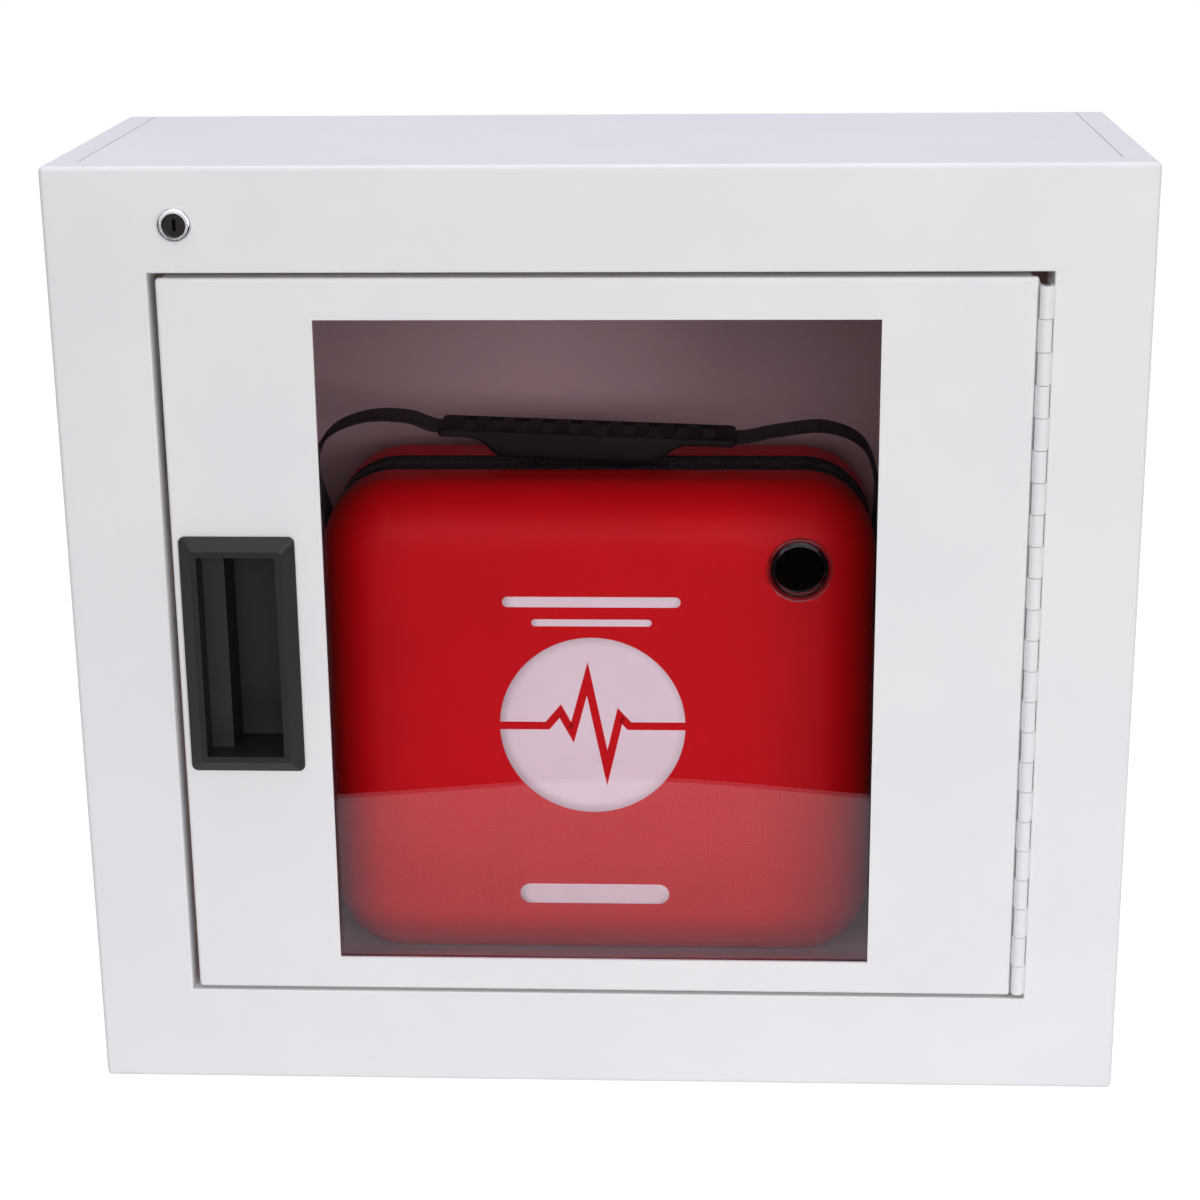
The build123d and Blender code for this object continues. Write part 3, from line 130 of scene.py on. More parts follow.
# ---------------------------------------------------------------- finishes
@dataclass(frozen=True)
class Finish:
    """A solid finish: paint, plastic, rubber, foam or metal with a fine grain and a slight mottle.

    The grain is a fine noise that bumps the surface and varies its roughness. The mottle is a broad noise
    that mixes the two colours.
    """

    name: str
    colour: str
    shade: str
    roughness: float
    metallic: float = 0.0
    ior: float = 1.5
    grain_mm: float = 0.8
    grain_height_mm: float = 0.02
    mottle_mm: float = 60.0
    roughness_swing: float = 0.06
    coat: float = 0.0
    sheen: float = 0.0
    subsurface: float = 0.0

    def material(self) -> bpy.types.Material:
        """Builds the material once.

        Returns:
            The material, the same one at every call.
        """
        found = bpy.data.materials.get(self.name)
        if found:
            return found
        material, tree, output = new_tree(self.name)
        place = add_node(tree, "ShaderNodeTexCoord").outputs["Object"]
        grain = add_node(
            tree,
            "ShaderNodeTexNoise",
            {"Vector": place, "Scale": 1 / (self.grain_mm * MM), "Detail": 3.0, "Roughness": 0.55},
        ).outputs["Fac"]
        broad = add_node(
            tree,
            "ShaderNodeTexNoise",
            {"Vector": place, "Scale": 1 / (self.mottle_mm * MM), "Detail": 4.0, "Roughness": 0.6},
        ).outputs["Fac"]
        spread = add_node(
            tree, "ShaderNodeMapRange", {"Value": broad, "From Min": 0.35, "From Max": 0.65}
        ).outputs["Result"]
        colour = add_node(
            tree,
            "ShaderNodeMix",
            {0: spread, 6: linear(self.shade), 7: linear(self.colour)},
            {"data_type": "RGBA"},
        ).outputs[2]
        rough = add_node(
            tree,
            "ShaderNodeMapRange",
            {
                "Value": grain,
                "From Min": 0.3,
                "From Max": 0.7,
                "To Min": self.roughness - self.roughness_swing,
                "To Max": self.roughness + self.roughness_swing,
            },
        ).outputs["Result"]
        bump = add_node(
            tree,
            "ShaderNodeBump",
            {"Height": grain, "Strength": 1.0, "Distance": self.grain_height_mm * MM},
        ).outputs["Normal"]
        shader = add_node(
            tree,
            "ShaderNodeBsdfPrincipled",
            {
                "Base Color": colour,
                "Roughness": rough,
                "Metallic": self.metallic,
                "IOR": self.ior,
                "Normal": bump,
                "Coat Weight": self.coat,
                "Sheen Weight": self.sheen,
                "Subsurface Weight": self.subsurface,
            },
        )
        tree.links.new(shader.outputs[0], output.inputs[0])
        return material


@dataclass(frozen=True)
class ShadedInside:
    """Powder coat whose faces inside the box are a dull warm grey: a painted shade for the box's dim inside.

    A face is inside where the product of its place, from the box's middle, and its normal is negative.
    """

    name: str
    outside: Finish
    inside: Finish
    middle: tuple[float, float, float]

    def material(self) -> bpy.types.Material:
        """Builds the material once.

        Returns:
            The material, the same one at every call.
        """
        found = bpy.data.materials.get(self.name)
        if found:
            return found
        material = self.outside.material().copy()
        material.name = self.name
        tree = material.node_tree
        shader = next(node for node in tree.nodes if node.type == "BSDF_PRINCIPLED")
        painted = shader.inputs["Base Color"].links[0].from_socket
        place = add_node(tree, "ShaderNodeTexCoord").outputs["Object"]
        normal = add_node(tree, "ShaderNodeNewGeometry").outputs["True Normal"]
        outward = add_node(
            tree, "ShaderNodeVectorMath", {0: place, 1: self.middle}, {"operation": "SUBTRACT"}
        ).outputs[0]
        facing = add_node(
            tree, "ShaderNodeVectorMath", {0: outward, 1: normal}, {"operation": "DOT_PRODUCT"}
        ).outputs["Value"]
        # Faces that look inward take the painted shade colour.
        shaded_face = add_node(tree, "ShaderNodeMath", {0: facing, 1: 0.0}, {"operation": "LESS_THAN"}).outputs[0]
        both = add_node(
            tree,
            "ShaderNodeMix",
            {0: shaded_face, 6: painted, 7: linear(self.inside.colour)},
            {"data_type": "RGBA"},
        ).outputs[2]
        tree.links.new(both, shader.inputs["Base Color"])
        return material


@dataclass(frozen=True)
class Woven:
    """A plain weave on the piece's own UV map, in metres: two sets of threads, each a row of half-round ridges.

    Height is the larger of two ridge patterns, each taken where the other set dips under it. The colour follows that
    height, partly a broad random mottle and partly a painted shade: lighter on the thread crowns, darker in the dips
    between them.
    """

    name: str
    colour: str
    shade: str
    thread_mm: float
    height_mm: float
    roughness: float
    sheen: float
    ior: float = 1.5
    mottle_mm: float = 40.0
    coat: float = 0.0

    def material(self) -> bpy.types.Material:
        """Builds the material once.

        Returns:
            The material, the same one at every call.
        """
        found = bpy.data.materials.get(self.name)
        if found:
            return found
        material, tree, output = new_tree(self.name)
        uv = add_node(tree, "ShaderNodeTexCoord").outputs["UV"]
        place = add_node(tree, "ShaderNodeTexCoord").outputs["Object"]
        split = add_node(tree, "ShaderNodeSeparateXYZ", {"Vector": uv}).outputs
        turn = math.pi / (self.thread_mm * MM)
        waves = []
        for axis in ("X", "Y"):
            angle = add_node(tree, "ShaderNodeMath", {0: split[axis], 1: turn}, {"operation": "MULTIPLY"}).outputs[0]
            waves.append(add_node(tree, "ShaderNodeMath", {0: angle}, {"operation": "SINE"}).outputs[0])
        weave = add_node(tree, "ShaderNodeMath", {0: waves[0], 1: waves[1]}, {"operation": "MULTIPLY"}).outputs[0]
        over = add_node(tree, "ShaderNodeMath", {0: weave}, {"operation": "ABSOLUTE"}).outputs[0]
        broad = add_node(
            tree, "ShaderNodeTexNoise", {"Vector": place, "Scale": 1 / (self.mottle_mm * MM), "Detail": 4.0}
        ).outputs["Fac"]
        # Painted shade: the colour is darker in the weave's dips and lighter on its crowns, mixed with a random mottle.
        crown_shade_and_mottle = add_node(
            tree, "ShaderNodeMath", {0: over, 1: 0.35, 2: broad}, {"operation": "MULTIPLY_ADD"}
        ).outputs[0]
        spread = add_node(
            tree, "ShaderNodeMapRange", {"Value": crown_shade_and_mottle, "From Min": 0.4, "From Max": 0.95}
        ).outputs["Result"]
        colour = add_node(
            tree,
            "ShaderNodeMix",
            {0: spread, 6: linear(self.shade), 7: linear(self.colour)},
            {"data_type": "RGBA"},
        ).outputs[2]
        bump = add_node(
            tree, "ShaderNodeBump", {"Height": over, "Strength": 1.0, "Distance": self.height_mm * MM}
        ).outputs["Normal"]
        shader = add_node(
            tree,
            "ShaderNodeBsdfPrincipled",
            {
                "Base Color": colour,
                "Roughness": self.roughness,
                "IOR": self.ior,
                "Normal": bump,
                "Sheen Weight": self.sheen,
                "Coat Weight": self.coat,
            },
        )
        tree.links.new(shader.outputs[0], output.inputs[0])
        return material


@dataclass(frozen=True)
class Clear:
    """Clear plastic: see-through, with a gloss that grows by Fresnel's law towards grazing angles.

    A moulded ring bends light as well: it is a smooth dielectric to the camera, and see-through to lamps.
    """

    name: str
    tint: str
    roughness: float = 0.0
    ior: float = 1.49
    bends: bool = False

    def material(self) -> bpy.types.Material:
        """Builds the material once.

        Returns:
            The material, the same one at every call.
        """
        found = bpy.data.materials.get(self.name)
        if found:
            return found
        material, tree, output = new_tree(self.name)
        through = add_node(tree, "ShaderNodeBsdfTransparent", {"Color": linear(self.tint)})
        if self.bends:
            solid = add_node(
                tree,
                "ShaderNodeBsdfPrincipled",
                {
                    "Base Color": linear(self.tint),
                    "Roughness": self.roughness,
                    "IOR": self.ior,
                    "Transmission Weight": 1.0,
                },
            )
            path = add_node(tree, "ShaderNodeLightPath").outputs
            lamp = add_node(
                tree,
                "ShaderNodeMath",
                {0: path["Is Shadow Ray"], 1: path["Is Diffuse Ray"]},
                {"operation": "MAXIMUM"},
            ).outputs[0]
            mix = add_node(tree, "ShaderNodeMixShader", {0: lamp, 1: solid.outputs[0], 2: through.outputs[0]})
        else:
            gloss = add_node(tree, "ShaderNodeBsdfGlossy", {"Color": linear("ffffff"), "Roughness": self.roughness})
            # The ray isn't bent on its way in, so both faces reflect as seen from the air: the index is turned
            # over on back faces, where the Fresnel node turns it over again.
            back = add_node(tree, "ShaderNodeNewGeometry").outputs["Backfacing"]
            power = add_node(
                tree, "ShaderNodeMath", {0: back, 1: -2.0, 2: 1.0}, {"operation": "MULTIPLY_ADD"}
            ).outputs[0]
            ratio = add_node(tree, "ShaderNodeMath", {0: self.ior, 1: power}, {"operation": "POWER"}).outputs[0]
            share = add_node(tree, "ShaderNodeFresnel", {"IOR": ratio}).outputs[0]
            mix = add_node(tree, "ShaderNodeMixShader", {0: share, 1: through.outputs[0], 2: gloss.outputs[0]})
        tree.links.new(mix.outputs[0], output.inputs[0])
        return material


# Polyester powder on folded steel: a warm white with the faint orange peel that baked powder has.
POWDER = Finish("powder_coated_steel", "e9e7e8", "e6e4e6", 0.55, grain_mm=1.6, grain_height_mm=0.012, coat=0.05)
# Inside the cabinet: a dull warm grey that paints the shade of the box's dim inside.
INSIDE_SHADE = Finish("painted_inside_shade", "b3a2a1", "aa9a99", 0.55)
# The box's inward faces get the painted shade; its outward faces keep the powder coat.
SHADED_BOX_POWDER = ShadedInside("powder_coated_steel_painted_inside_shade", POWDER, INSIDE_SHADE, (0.0, 0.0, 0.19))
# Zinc plate: a dull silver with faint cloudy patches.
ZINC = Finish("zinc_plated_steel", "b9bcc0", "9fa3a8", 0.38, metallic=1.0, grain_mm=0.5, mottle_mm=8.0)
CHROME = Finish("polished_chrome_plate", "dadce0", "ced1d6", 0.12, metallic=1.0, grain_height_mm=0.002)
# The lock's plug is coloured dark metal: a painted shade for the lock's recess.
DARK_PLUG_SHADE = Finish("dark_plug_painted_recess_shade", "3a3636", "242022", 0.22, metallic=1.0, grain_height_mm=0.004)
BRASS = Finish("turned_brass", "b59a5b", "9c8248", 0.3, metallic=1.0, grain_mm=0.4, mottle_mm=6.0)
ALUMINIUM = Finish("sleeved_aluminium_can", "8f9aa6", "7d8894", 0.35, metallic=1.0, mottle_mm=12.0)
FERRITE = Finish("ground_ferrite_magnet", "2a2a2b", "1d1d1e", 0.55, grain_mm=0.4, grain_height_mm=0.03)
# Moulded ABS with a spark-eroded texture: near black, its fine pits scatter a soft grey sheen.
BLACK_ABS = Finish("textured_black_abs", "120d11", "0e0a0d", 0.5, ior=1.5, grain_mm=0.55, grain_height_mm=0.03)
GREY_ABS = Finish("moulded_grey_abs", "8e9093", "838589", 0.5, grain_mm=0.6)
DEVICE_SHELL = Finish("moulded_charcoal_abs", "25272b", "1f2125", 0.42, grain_mm=0.7, grain_height_mm=0.015)
DARK_SHELL = Finish("moulded_slate_abs", "3c4046", "33373c", 0.45, grain_mm=0.7, grain_height_mm=0.02)
GREEN_KEY = Finish("satin_green_polycarbonate", "1f8a3f", "187234", 0.3, coat=0.3)
ORANGE_KEY = Finish("satin_orange_polycarbonate", "e2661a", "cc5610", 0.3, coat=0.3)
SMOKED_LENS = Finish("smoked_status_lens", "0d1410", "0a100c", 0.15, coat=0.3)
BLUE_KEY = Finish("satin_blue_polycarbonate", "2456a6", "1b4790", 0.3, coat=0.3)
LAMINATE_BOARD = Finish("solder_masked_laminate", "14532d", "0e4424", 0.32, grain_mm=1.2, mottle_mm=5.0)
BATTERY_SLEEVE = Finish("printed_battery_sleeve", "23272e", "1a1e24", 0.35)
WIRE = Finish("pvc_wire_sheath", "c4c4c6", "b6b6b8", 0.4)
FOAM_TAPE = Finish("white_foam_tape", "dedcda", "cdcbc9", 0.85, grain_mm=0.5, grain_height_mm=0.08)
# Moulded rubber: dull black with a bloom that greys its high spots.
GRIP_RUBBER = Finish("moulded_nitrile_rubber", "0f0b0c", "0a0708", 0.7, ior=1.35, grain_mm=0.7, grain_height_mm=0.05)
BLACK_FOAM = Finish("closed_cell_black_foam", "232122", "171516", 0.9, grain_mm=0.9, grain_height_mm=0.2)
NYLON = Finish("nylon_zip_coil", "1d191b", "141113", 0.4, grain_mm=0.3)
# Screen ink on the laminate: a thin matte white that the red below warms.
SCREEN_INK = Finish("white_screen_ink", "fbf8fa", "f6f3f5", 0.6, grain_mm=0.4, grain_height_mm=0.01, mottle_mm=15.0)
THREAD = Finish("bonded_polyester_thread", "241f21", "1a1617", 0.6, grain_mm=0.3, grain_height_mm=0.04)
# Foam laminated with a tight polyester knit and pressed hot: deep red, smooth, with a low silky sheen. The
# real threads are 0.25 mm; they are drawn at 0.7 mm so that they show close up.
RED_LAMINATE = Woven("hot_pressed_red_laminate", "dc0412", "d0030f", 0.7, 0.02, 0.5, 0.0, ior=1.28)
# Woven polyamide webbing: near black, its ribs catch a thin line of light, partly a painted highlight where the weave
# colours its crowns lighter.
WEBBING = Woven("woven_black_webbing", "171112", "0d0a0a", 1.3, 0.18, 0.7, 0.03, ior=1.4)
GUSSET_CLOTH = Woven("black_oxford_cloth", "151011", "0d0a0b", 0.8, 0.06, 0.72, 0.03, ior=1.4)
ACRYLIC = Clear("cast_acrylic_sheet", "fdf7fa")
# Dark tint on the window in that ring: a painted shade, so that what lies behind it shows only as darkness.
SHADE_TINTED_WINDOW = Clear("window_tinted_as_painted_shade", "585153")
CLEAR_RING = Clear("moulded_clear_polycarbonate", "dfe3e4", roughness=0.08, ior=1.58, bends=True)

CAD_FINISHES: dict[Any, tuple[str, ...]] = {
    SHADED_BOX_POWDER: ("rear_wrap",),
    POWDER: (
        "front_wrap",
        "case_shelf",
        "door_panel",
        "hinge_frame_leaf",
        "hinge_door_leaf",
        "hinge_frame_rivets",
        "hinge_door_rivets",
        "shelf_rivets",
    ),
    ZINC: ("hinge_pin", "pane_retainer", "door_studs", "door_nuts", "strike_plate", "alarm_screws", "zip_pin"),
    CHROME: ("lock_body", "lock_cam", "zip_slider", "zip_tab", "strap_rivets"),
    DARK_PLUG_SHADE: ("lock_plug",),
    BRASS: ("lock_nut",),
    ALUMINIUM: ("device_capacitor",),
    FERRITE: ("catch_magnet",),
    BLACK_ABS: ("door_pull", "catch_body", "alarm_siren", "alarm_switch", "device_speaker"),
    GREY_ABS: ("alarm_housing", "alarm_cover", "door_sensor", "sensor_magnet"),
    DEVICE_SHELL: ("device_front_housing",),
    DARK_SHELL: ("device_rear_housing", "battery_pack", "pads_cartridge"),
    GREEN_KEY: ("on_button",),
    SMOKED_LENS: ("status_light",),
    ORANGE_KEY: ("shock_button", "cartridge_handle"),
    BLUE_KEY: ("info_button",),
    LAMINATE_BOARD: ("alarm_board", "device_board"),
    BATTERY_SLEEVE: ("alarm_battery",),
    WIRE: ("sensor_wire",),
    FOAM_TAPE: ("window_gasket",),
    ACRYLIC: ("window_pane",),
    CLEAR_RING: ("status_grommet",),
    SHADE_TINTED_WINDOW: ("status_lens",),
}


def dress_cad_nodes() -> None:
    """Gives each carried-over CAD node its finish."""
    for finish, nodes in CAD_FINISHES.items():
        for node in nodes:
            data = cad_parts[node].data
            data.materials.clear()
            data.materials.append(finish.material())


# ---------------------------------------------------------------- mesh making
def grid_faces(rows: int, columns: int, wrap_rows: bool = False, wrap_columns: bool = True) -> Array:
    """Quads of a grid of points stored row by row.

    Args:
        rows: number of rows.
        columns: number of points in a row.
        wrap_rows: whether the last row joins the first.
        wrap_columns: whether the last point of a row joins its first.

    Returns:
        One quad of point numbers per line.
    """
    row = np.arange(rows if wrap_rows else rows - 1)[:, None]
    column = np.arange(columns if wrap_columns else columns - 1)[None, :]
    next_row, next_column = (row + 1) % rows, (column + 1) % columns
    quads = [row * columns + column, row * columns + next_column]
    quads += [next_row * columns + next_column, next_row * columns + column]
    return np.stack([q + 0 * (row + column) for q in quads], -1).reshape(-1, 4)


def grid_uv(faces: Array, rows: int, columns: int, u: Array, v: Array, wrap_rows: bool = False) -> Array:
    """UV corners in metres for a grid made by grid_faces, kept apart where the grid joins itself.

    Args:
        faces: the quads of grid_faces with wrapped columns.
        rows: number of rows.
        columns: number of points in a row.
        u: distance along each row, one more value than the columns, the last one for the join.
        v: distance across the rows, one value per row, and one more where the rows wrap.
        wrap_rows: whether the last row joins the first.

    Returns:
        One UV pair per face corner.
    """
    count = len(u) - 1
    row = np.repeat(np.arange(rows if wrap_rows else rows - 1), count)
    column = np.tile(np.arange(count), rows if wrap_rows else rows - 1)
    corners_u = np.stack([u[column], u[column + 1], u[column + 1], u[column]], -1)
    corners_v = np.stack([v[row], v[row], v[row + 1], v[row + 1]], -1)
    return np.stack([corners_u, corners_v], -1).reshape(-1, 2)


@dataclass
class Piece:
    """A new visible piece: its mesh data, its finish and what it rides on."""

    name: str
    points: Array
    faces: Array
    finish: Any
    body: Body
    slot: str
    replaces: Sequence[str] = ()
    uv: Optional[Array] = None
    smooth: bool = True
    weld_mm: float = 0.0

    def place(self) -> bpy.types.Object:
        """Makes the object, welds and orients its faces, and ties it to its body.

        Returns:
            The finished object, at the origin, unturned and unscaled.
        """
        mesh = bpy.data.meshes.new(self.name)
        mesh.from_pydata(self.points.reshape(-1, 3).tolist(), [], self.faces.tolist())
        if self.uv is not None:
            mesh.uv_layers.new(name="cloth").data.foreach_set("uv", self.uv.astype(np.float32).ravel())
        mesh.materials.append(self.finish.material())
        tidy = bmesh.new()
        tidy.from_mesh(mesh)
        if self.weld_mm:
            bmesh.ops.remove_doubles(tidy, verts=tidy.verts, dist=self.weld_mm * MM)
        bmesh.ops.recalc_face_normals(tidy, faces=tidy.faces)
        tidy.to_mesh(mesh)
        tidy.free()
        mesh.polygons.foreach_set("use_smooth", np.full(len(mesh.polygons), self.smooth))
        piece = bpy.data.objects.new(self.name, mesh)
        bpy.context.scene.collection.objects.link(piece)
        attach(piece, self.body.value)
        if self.replaces:
            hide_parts(*self.replaces)
        return piece


@dataclass(frozen=True)
class Outline:
    """A rectangle with rounded corners in the X-Z plane, walked anticlockwise seen from the front.

    A point is a corner's centre plus the corner radius times the outward direction, so an inset shrinks the
    radius and keeps the centres, and every inset has the same number of points.
    """

    centre: tuple[float, float]
    width: float
    height: float
    corner: float
    per_corner: int = 14
    per_side: int = 26

    def _walk(self) -> tuple[Array, Array]:
        """Corner centres and outward directions of every point.

        Returns:
            The centres and the directions, as X and Z.
        """
        cx, cz = self.width / 2 - self.corner, self.height / 2 - self.corner
        centres = np.array([(cx, cz), (-cx, cz), (-cx, -cz), (cx, -cz)])
        middles, ways = [], []
        for index in range(4):
            angle = (index + np.linspace(0, 1, self.per_corner)) * math.pi / 2
            middles.append(np.repeat(centres[index : index + 1], self.per_corner, 0))
            ways.append(np.stack([np.cos(angle), np.sin(angle)], -1))
            share = np.linspace(0, 1, self.per_side + 2)[1:-1, None]
            following = centres[(index + 1) % 4]
            middles.append(centres[index] * (1 - share) + following * share)
            ways.append(np.repeat(ways[-1][-1:], self.per_side, 0))
        return np.concatenate(middles), np.concatenate(ways)

    def ring(self, inset: float, y: float, scale: float = 1.0) -> Array:
        """A closed ring of points.

        Args:
            inset: how far inside the outline the ring runs.
            y: the ring's depth.
            scale: share of the way out from the centre, for rings that fill a face.

        Returns:
            The points, one per line.
        """
        middles, ways = self._walk()
        flat = (middles + ways * (self.corner - inset)) * scale
        depth = np.full(len(flat), y)
        return np.stack([flat[:, 0] + self.centre[0], depth, flat[:, 1] + self.centre[1]], -1)

    def ways(self) -> Array:
        """Outward directions of every point, in space.

        Returns:
            One unit direction a point.
        """
        _, ways = self._walk()
        return np.stack([ways[:, 0], np.zeros(len(ways)), ways[:, 1]], -1)

    def along(self, inset: float = 0.0) -> Array:
        """Distance along the ring at every point, and once more at the join.

        Args:
            inset: how far inside the outline the ring runs.

        Returns:
            The distances, in metres.
        """
        ring = self.ring(inset, 0.0)
        step = np.linalg.norm(np.roll(ring, -1, 0) - ring, axis=1)
        return np.concatenate([[0.0], np.cumsum(step)])

    def even(self, inset: float, y: float, pitch: float) -> tuple[Array, Array, Array]:
        """Evenly spaced points round the ring.

        Args:
            inset: how far inside the outline the ring runs.
            y: the ring's depth.
            pitch: the wanted spacing.

        Returns:
            The points, the outward directions and the directions along the ring.
        """
        ring, ways, along = self.ring(inset, y), self.ways(), self.along(inset)
        count = int(round(along[-1] / pitch))
        at = np.arange(count) * along[-1] / count
        ring, ways = np.concatenate([ring, ring[:1]]), np.concatenate([ways, ways[:1]])
        points = np.stack([np.interp(at, along, ring[:, k]) for k in range(3)], -1)
        out = np.stack([np.interp(at, along, ways[:, k]) for k in range(3)], -1)
        out /= np.linalg.norm(out, axis=1)[:, None]
        forward = np.stack([-out[:, 2], np.zeros(count), out[:, 0]], -1)
        return points, out, forward


def swept_rings(rings: Sequence[Array], wrap: bool = False) -> tuple[Array, Array]:
    """Joins rings of equal length into one skin.

    Args:
        rings: the rings in order.
        wrap: whether the last ring joins the first.

    Returns:
        The points and the quads.
    """
    points = np.stack(rings)
    return points.reshape(-1, 3), grid_faces(len(rings), points.shape[1], wrap_rows=wrap)


def copies(unit: Array, faces: Array, places: Array, axes: tuple[Array, Array, Array]) -> tuple[Array, Array]:
    """Sets a small mesh at many places: each point is its place plus its three coordinates along three axes.

    Args:
        unit: the small mesh's points.
        faces: its quads.
        places: where each copy stands.
        axes: three directions for each copy, for the unit's X, Y and Z.

    Returns:
        The points and quads of all copies.
    """
    turned = sum(unit[None, :, k, None] * axes[k][:, None, :] for k in range(3))
    points = places[:, None, :] + turned
    shift = (np.arange(len(places)) * len(unit))[:, None, None]
    return points.reshape(-1, 3), (faces[None] + shift).reshape(-1, faces.shape[1])


def bead(length: float, width: float, height: float, rows: int = 7, columns: int = 8) -> tuple[Array, Array]:
    """A long bead with round ends: an ellipsoid whose middle is stretched, so its radius is the fourth-power
    root of one minus the fourth power of the place along it.

    Args:
        length: size along X.
        width: size along Y.
        height: size along Z.
        rows: rings along the bead.
        columns: points round it.

    Returns:
        The points and quads.
    """
    t = np.cos(np.linspace(math.pi, 0, rows))
    radius = np.clip(1 - t**4, 0.0, 1.0) ** 0.25
    angle = np.arange(columns) * 2 * math.pi / columns
    x = np.repeat(t[:, None], columns, 1) * length / 2
    y = radius[:, None] * np.cos(angle) * width / 2
    z = radius[:, None] * np.sin(angle) * height / 2
    return np.stack([x, y, z], -1).reshape(-1, 3), grid_faces(rows, columns)


def smooth_path(points: Array, start_way: Array, end_way: Array, count: int) -> Array:
    """A curve through every point: cubic pieces whose slopes at a point lie along its two neighbours' chord.

    Args:
        points: the points to pass through.
        start_way: direction at the first point.
        end_way: direction at the last point.
        count: samples along each piece.

    Returns:
        The sampled points.
    """
    chord = np.linalg.norm(np.diff(points, axis=0), axis=1)
    knots = np.concatenate([[0.0], np.cumsum(chord)])
    slopes = np.empty_like(points)
    slopes[1:-1] = (points[2:] - points[:-2]) / (knots[2:] - knots[:-2])[:, None]
    slopes[0], slopes[-1] = start_way / np.linalg.norm(start_way), end_way / np.linalg.norm(end_way)
    t = np.linspace(0, 1, count, endpoint=False)[None, :, None]
    a, b = points[:-1, None], points[1:, None]
    da, db = slopes[:-1, None] * chord[:, None, None], slopes[1:, None] * chord[:, None, None]
    cubic = (2 * t**3 - 3 * t**2 + 1) * a + (t**3 - 2 * t**2 + t) * da
    cubic = cubic + (3 * t**2 - 2 * t**3) * b + (t**3 - t**2) * db
    return np.concatenate([cubic.reshape(-1, points.shape[1]), points[-1:]])


def span(node: str) -> tuple[Array, Array]:
    """The low and high corners of a CAD node's box.

    Args:
        node: the node's name.

    Returns:
        The two corners, in metres.
    """
    low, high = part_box(node)
    return np.array(low), np.array(high)


def thick_line(path: Array, half: float) -> tuple[Array, Array]:
    """The two edges of a mitred line in a plane.

    At each point the offset lies along the mean of the two neighbouring normals, divided by its cosine with
    either of them.

    Args:
        path: the line's points, two coordinates each.
        half: half of the line's width.

    Returns:
        The left and right edge points.
    """
    way = np.diff(path, axis=0)
    normal = np.stack([-way[:, 1], way[:, 0]], -1) / np.linalg.norm(way, axis=1)[:, None]
    before, after = np.vstack([normal[:1], normal]), np.vstack([normal, normal[-1:]])
    mean = before + after
    mean /= np.linalg.norm(mean, axis=1)[:, None]
    offset = mean * half / np.sum(mean * after, axis=1)[:, None]
    return path + offset, path - offset


def box_uv(points: Array, faces: Array) -> Array:
    """UV corners in metres: each face is laid flat along the axis that it faces most.

    Args:
        points: the mesh points.
        faces: the quads.

    Returns:
        One UV pair for each corner of each face.
    """
    corners = points[faces]
    normal = np.abs(np.cross(corners[:, 2] - corners[:, 0], corners[:, 3] - corners[:, 1]))
    axis = np.argmax(normal, axis=1)
    keep = np.array([[1, 2], [0, 2], [0, 1]])[axis]
    return np.take_along_axis(corners, np.repeat(keep[:, None, :], 4, 1), axis=2).reshape(-1, 2)


def applied(piece: bpy.types.Object) -> bpy.types.Object:
    """Bakes a piece's modifiers into its mesh and removes them.

    Args:
        piece: the piece.

    Returns:
        The same piece.
    """
    graph = bpy.context.evaluated_depsgraph_get()
    baked = bpy.data.meshes.new_from_object(piece.evaluated_get(graph), depsgraph=graph)
    piece.modifiers.clear()
    piece.data = baked
    return piece


def stitches(
    name: str, places: Array, out: Array, along: Array, body: Body, length_mm: float = 2.1
) -> bpy.types.Object:
    """A row of thread stitches, each a small bead half sunk in the cloth.

    Args:
        name: the piece's name.
        places: middle of each stitch, on the cloth.
        out: outward direction at each stitch.
        along: direction of the seam at each stitch.
        body: what it rides on.
        length_mm: length of one stitch.

    Returns:
        The finished object.
    """
    unit, faces = bead(length_mm * MM, 0.75 * MM, 0.7 * MM, rows=5, columns=6)
    points, quads = copies(unit, faces, places, (along, np.cross(out, along), out))
    return Piece(name, points, quads, THREAD, body, "black_webbing", weld_mm=0.01).place()


# ---------------------------------------------------------------- carry case
def pierce(piece: bpy.types.Object, ring_node: str, sleeve: float) -> None:
    """Cuts the hole that a round fitting's sleeve passes through.

    Args:
        piece: the shell or pad.
        ring_node: the fitting's CAD node, which gives the place.
        sleeve: the sleeve's radius.
    """
    low, high = span(ring_node)
    middle = (low + high) / 2
    outline = Outline((middle[0], middle[2]), 2 * sleeve, 2 * sleeve, sleeve, per_side=0)
    rings = [outline.ring(0, low[1] - 10 * MM, s) for s in (0.0, 1.0)]
    rings += [outline.ring(0, high[1] + 10 * MM, s) for s in (1.0, 0.0)]
    points, faces = swept_rings(rings)
    cutter = Piece("hole_cutter", points, faces, RED_LAMINATE, Body.CASE, "red_laminate", weld_mm=0.005).place()
    cut = piece.modifiers.new("hole", "BOOLEAN")
    cut.operation, cut.solver, cut.object = "DIFFERENCE", "EXACT", cutter
    applied(piece)
    bpy.data.objects.remove(cutter)


@dataclass(frozen=True)
class CaseOutline:
    """The carry case's outline, taken from the CAD shells."""

    corner: float = 30 * MM

    def outline(self) -> Outline:
        """The outer outline of both shells.

        Returns:
            The outline, at the size of the CAD shells.
        """
        low, high = span("case_front_shell")
        middle = (low + high) / 2
        return Outline((middle[0], middle[2]), high[0] - low[0], high[2] - low[2], self.corner)


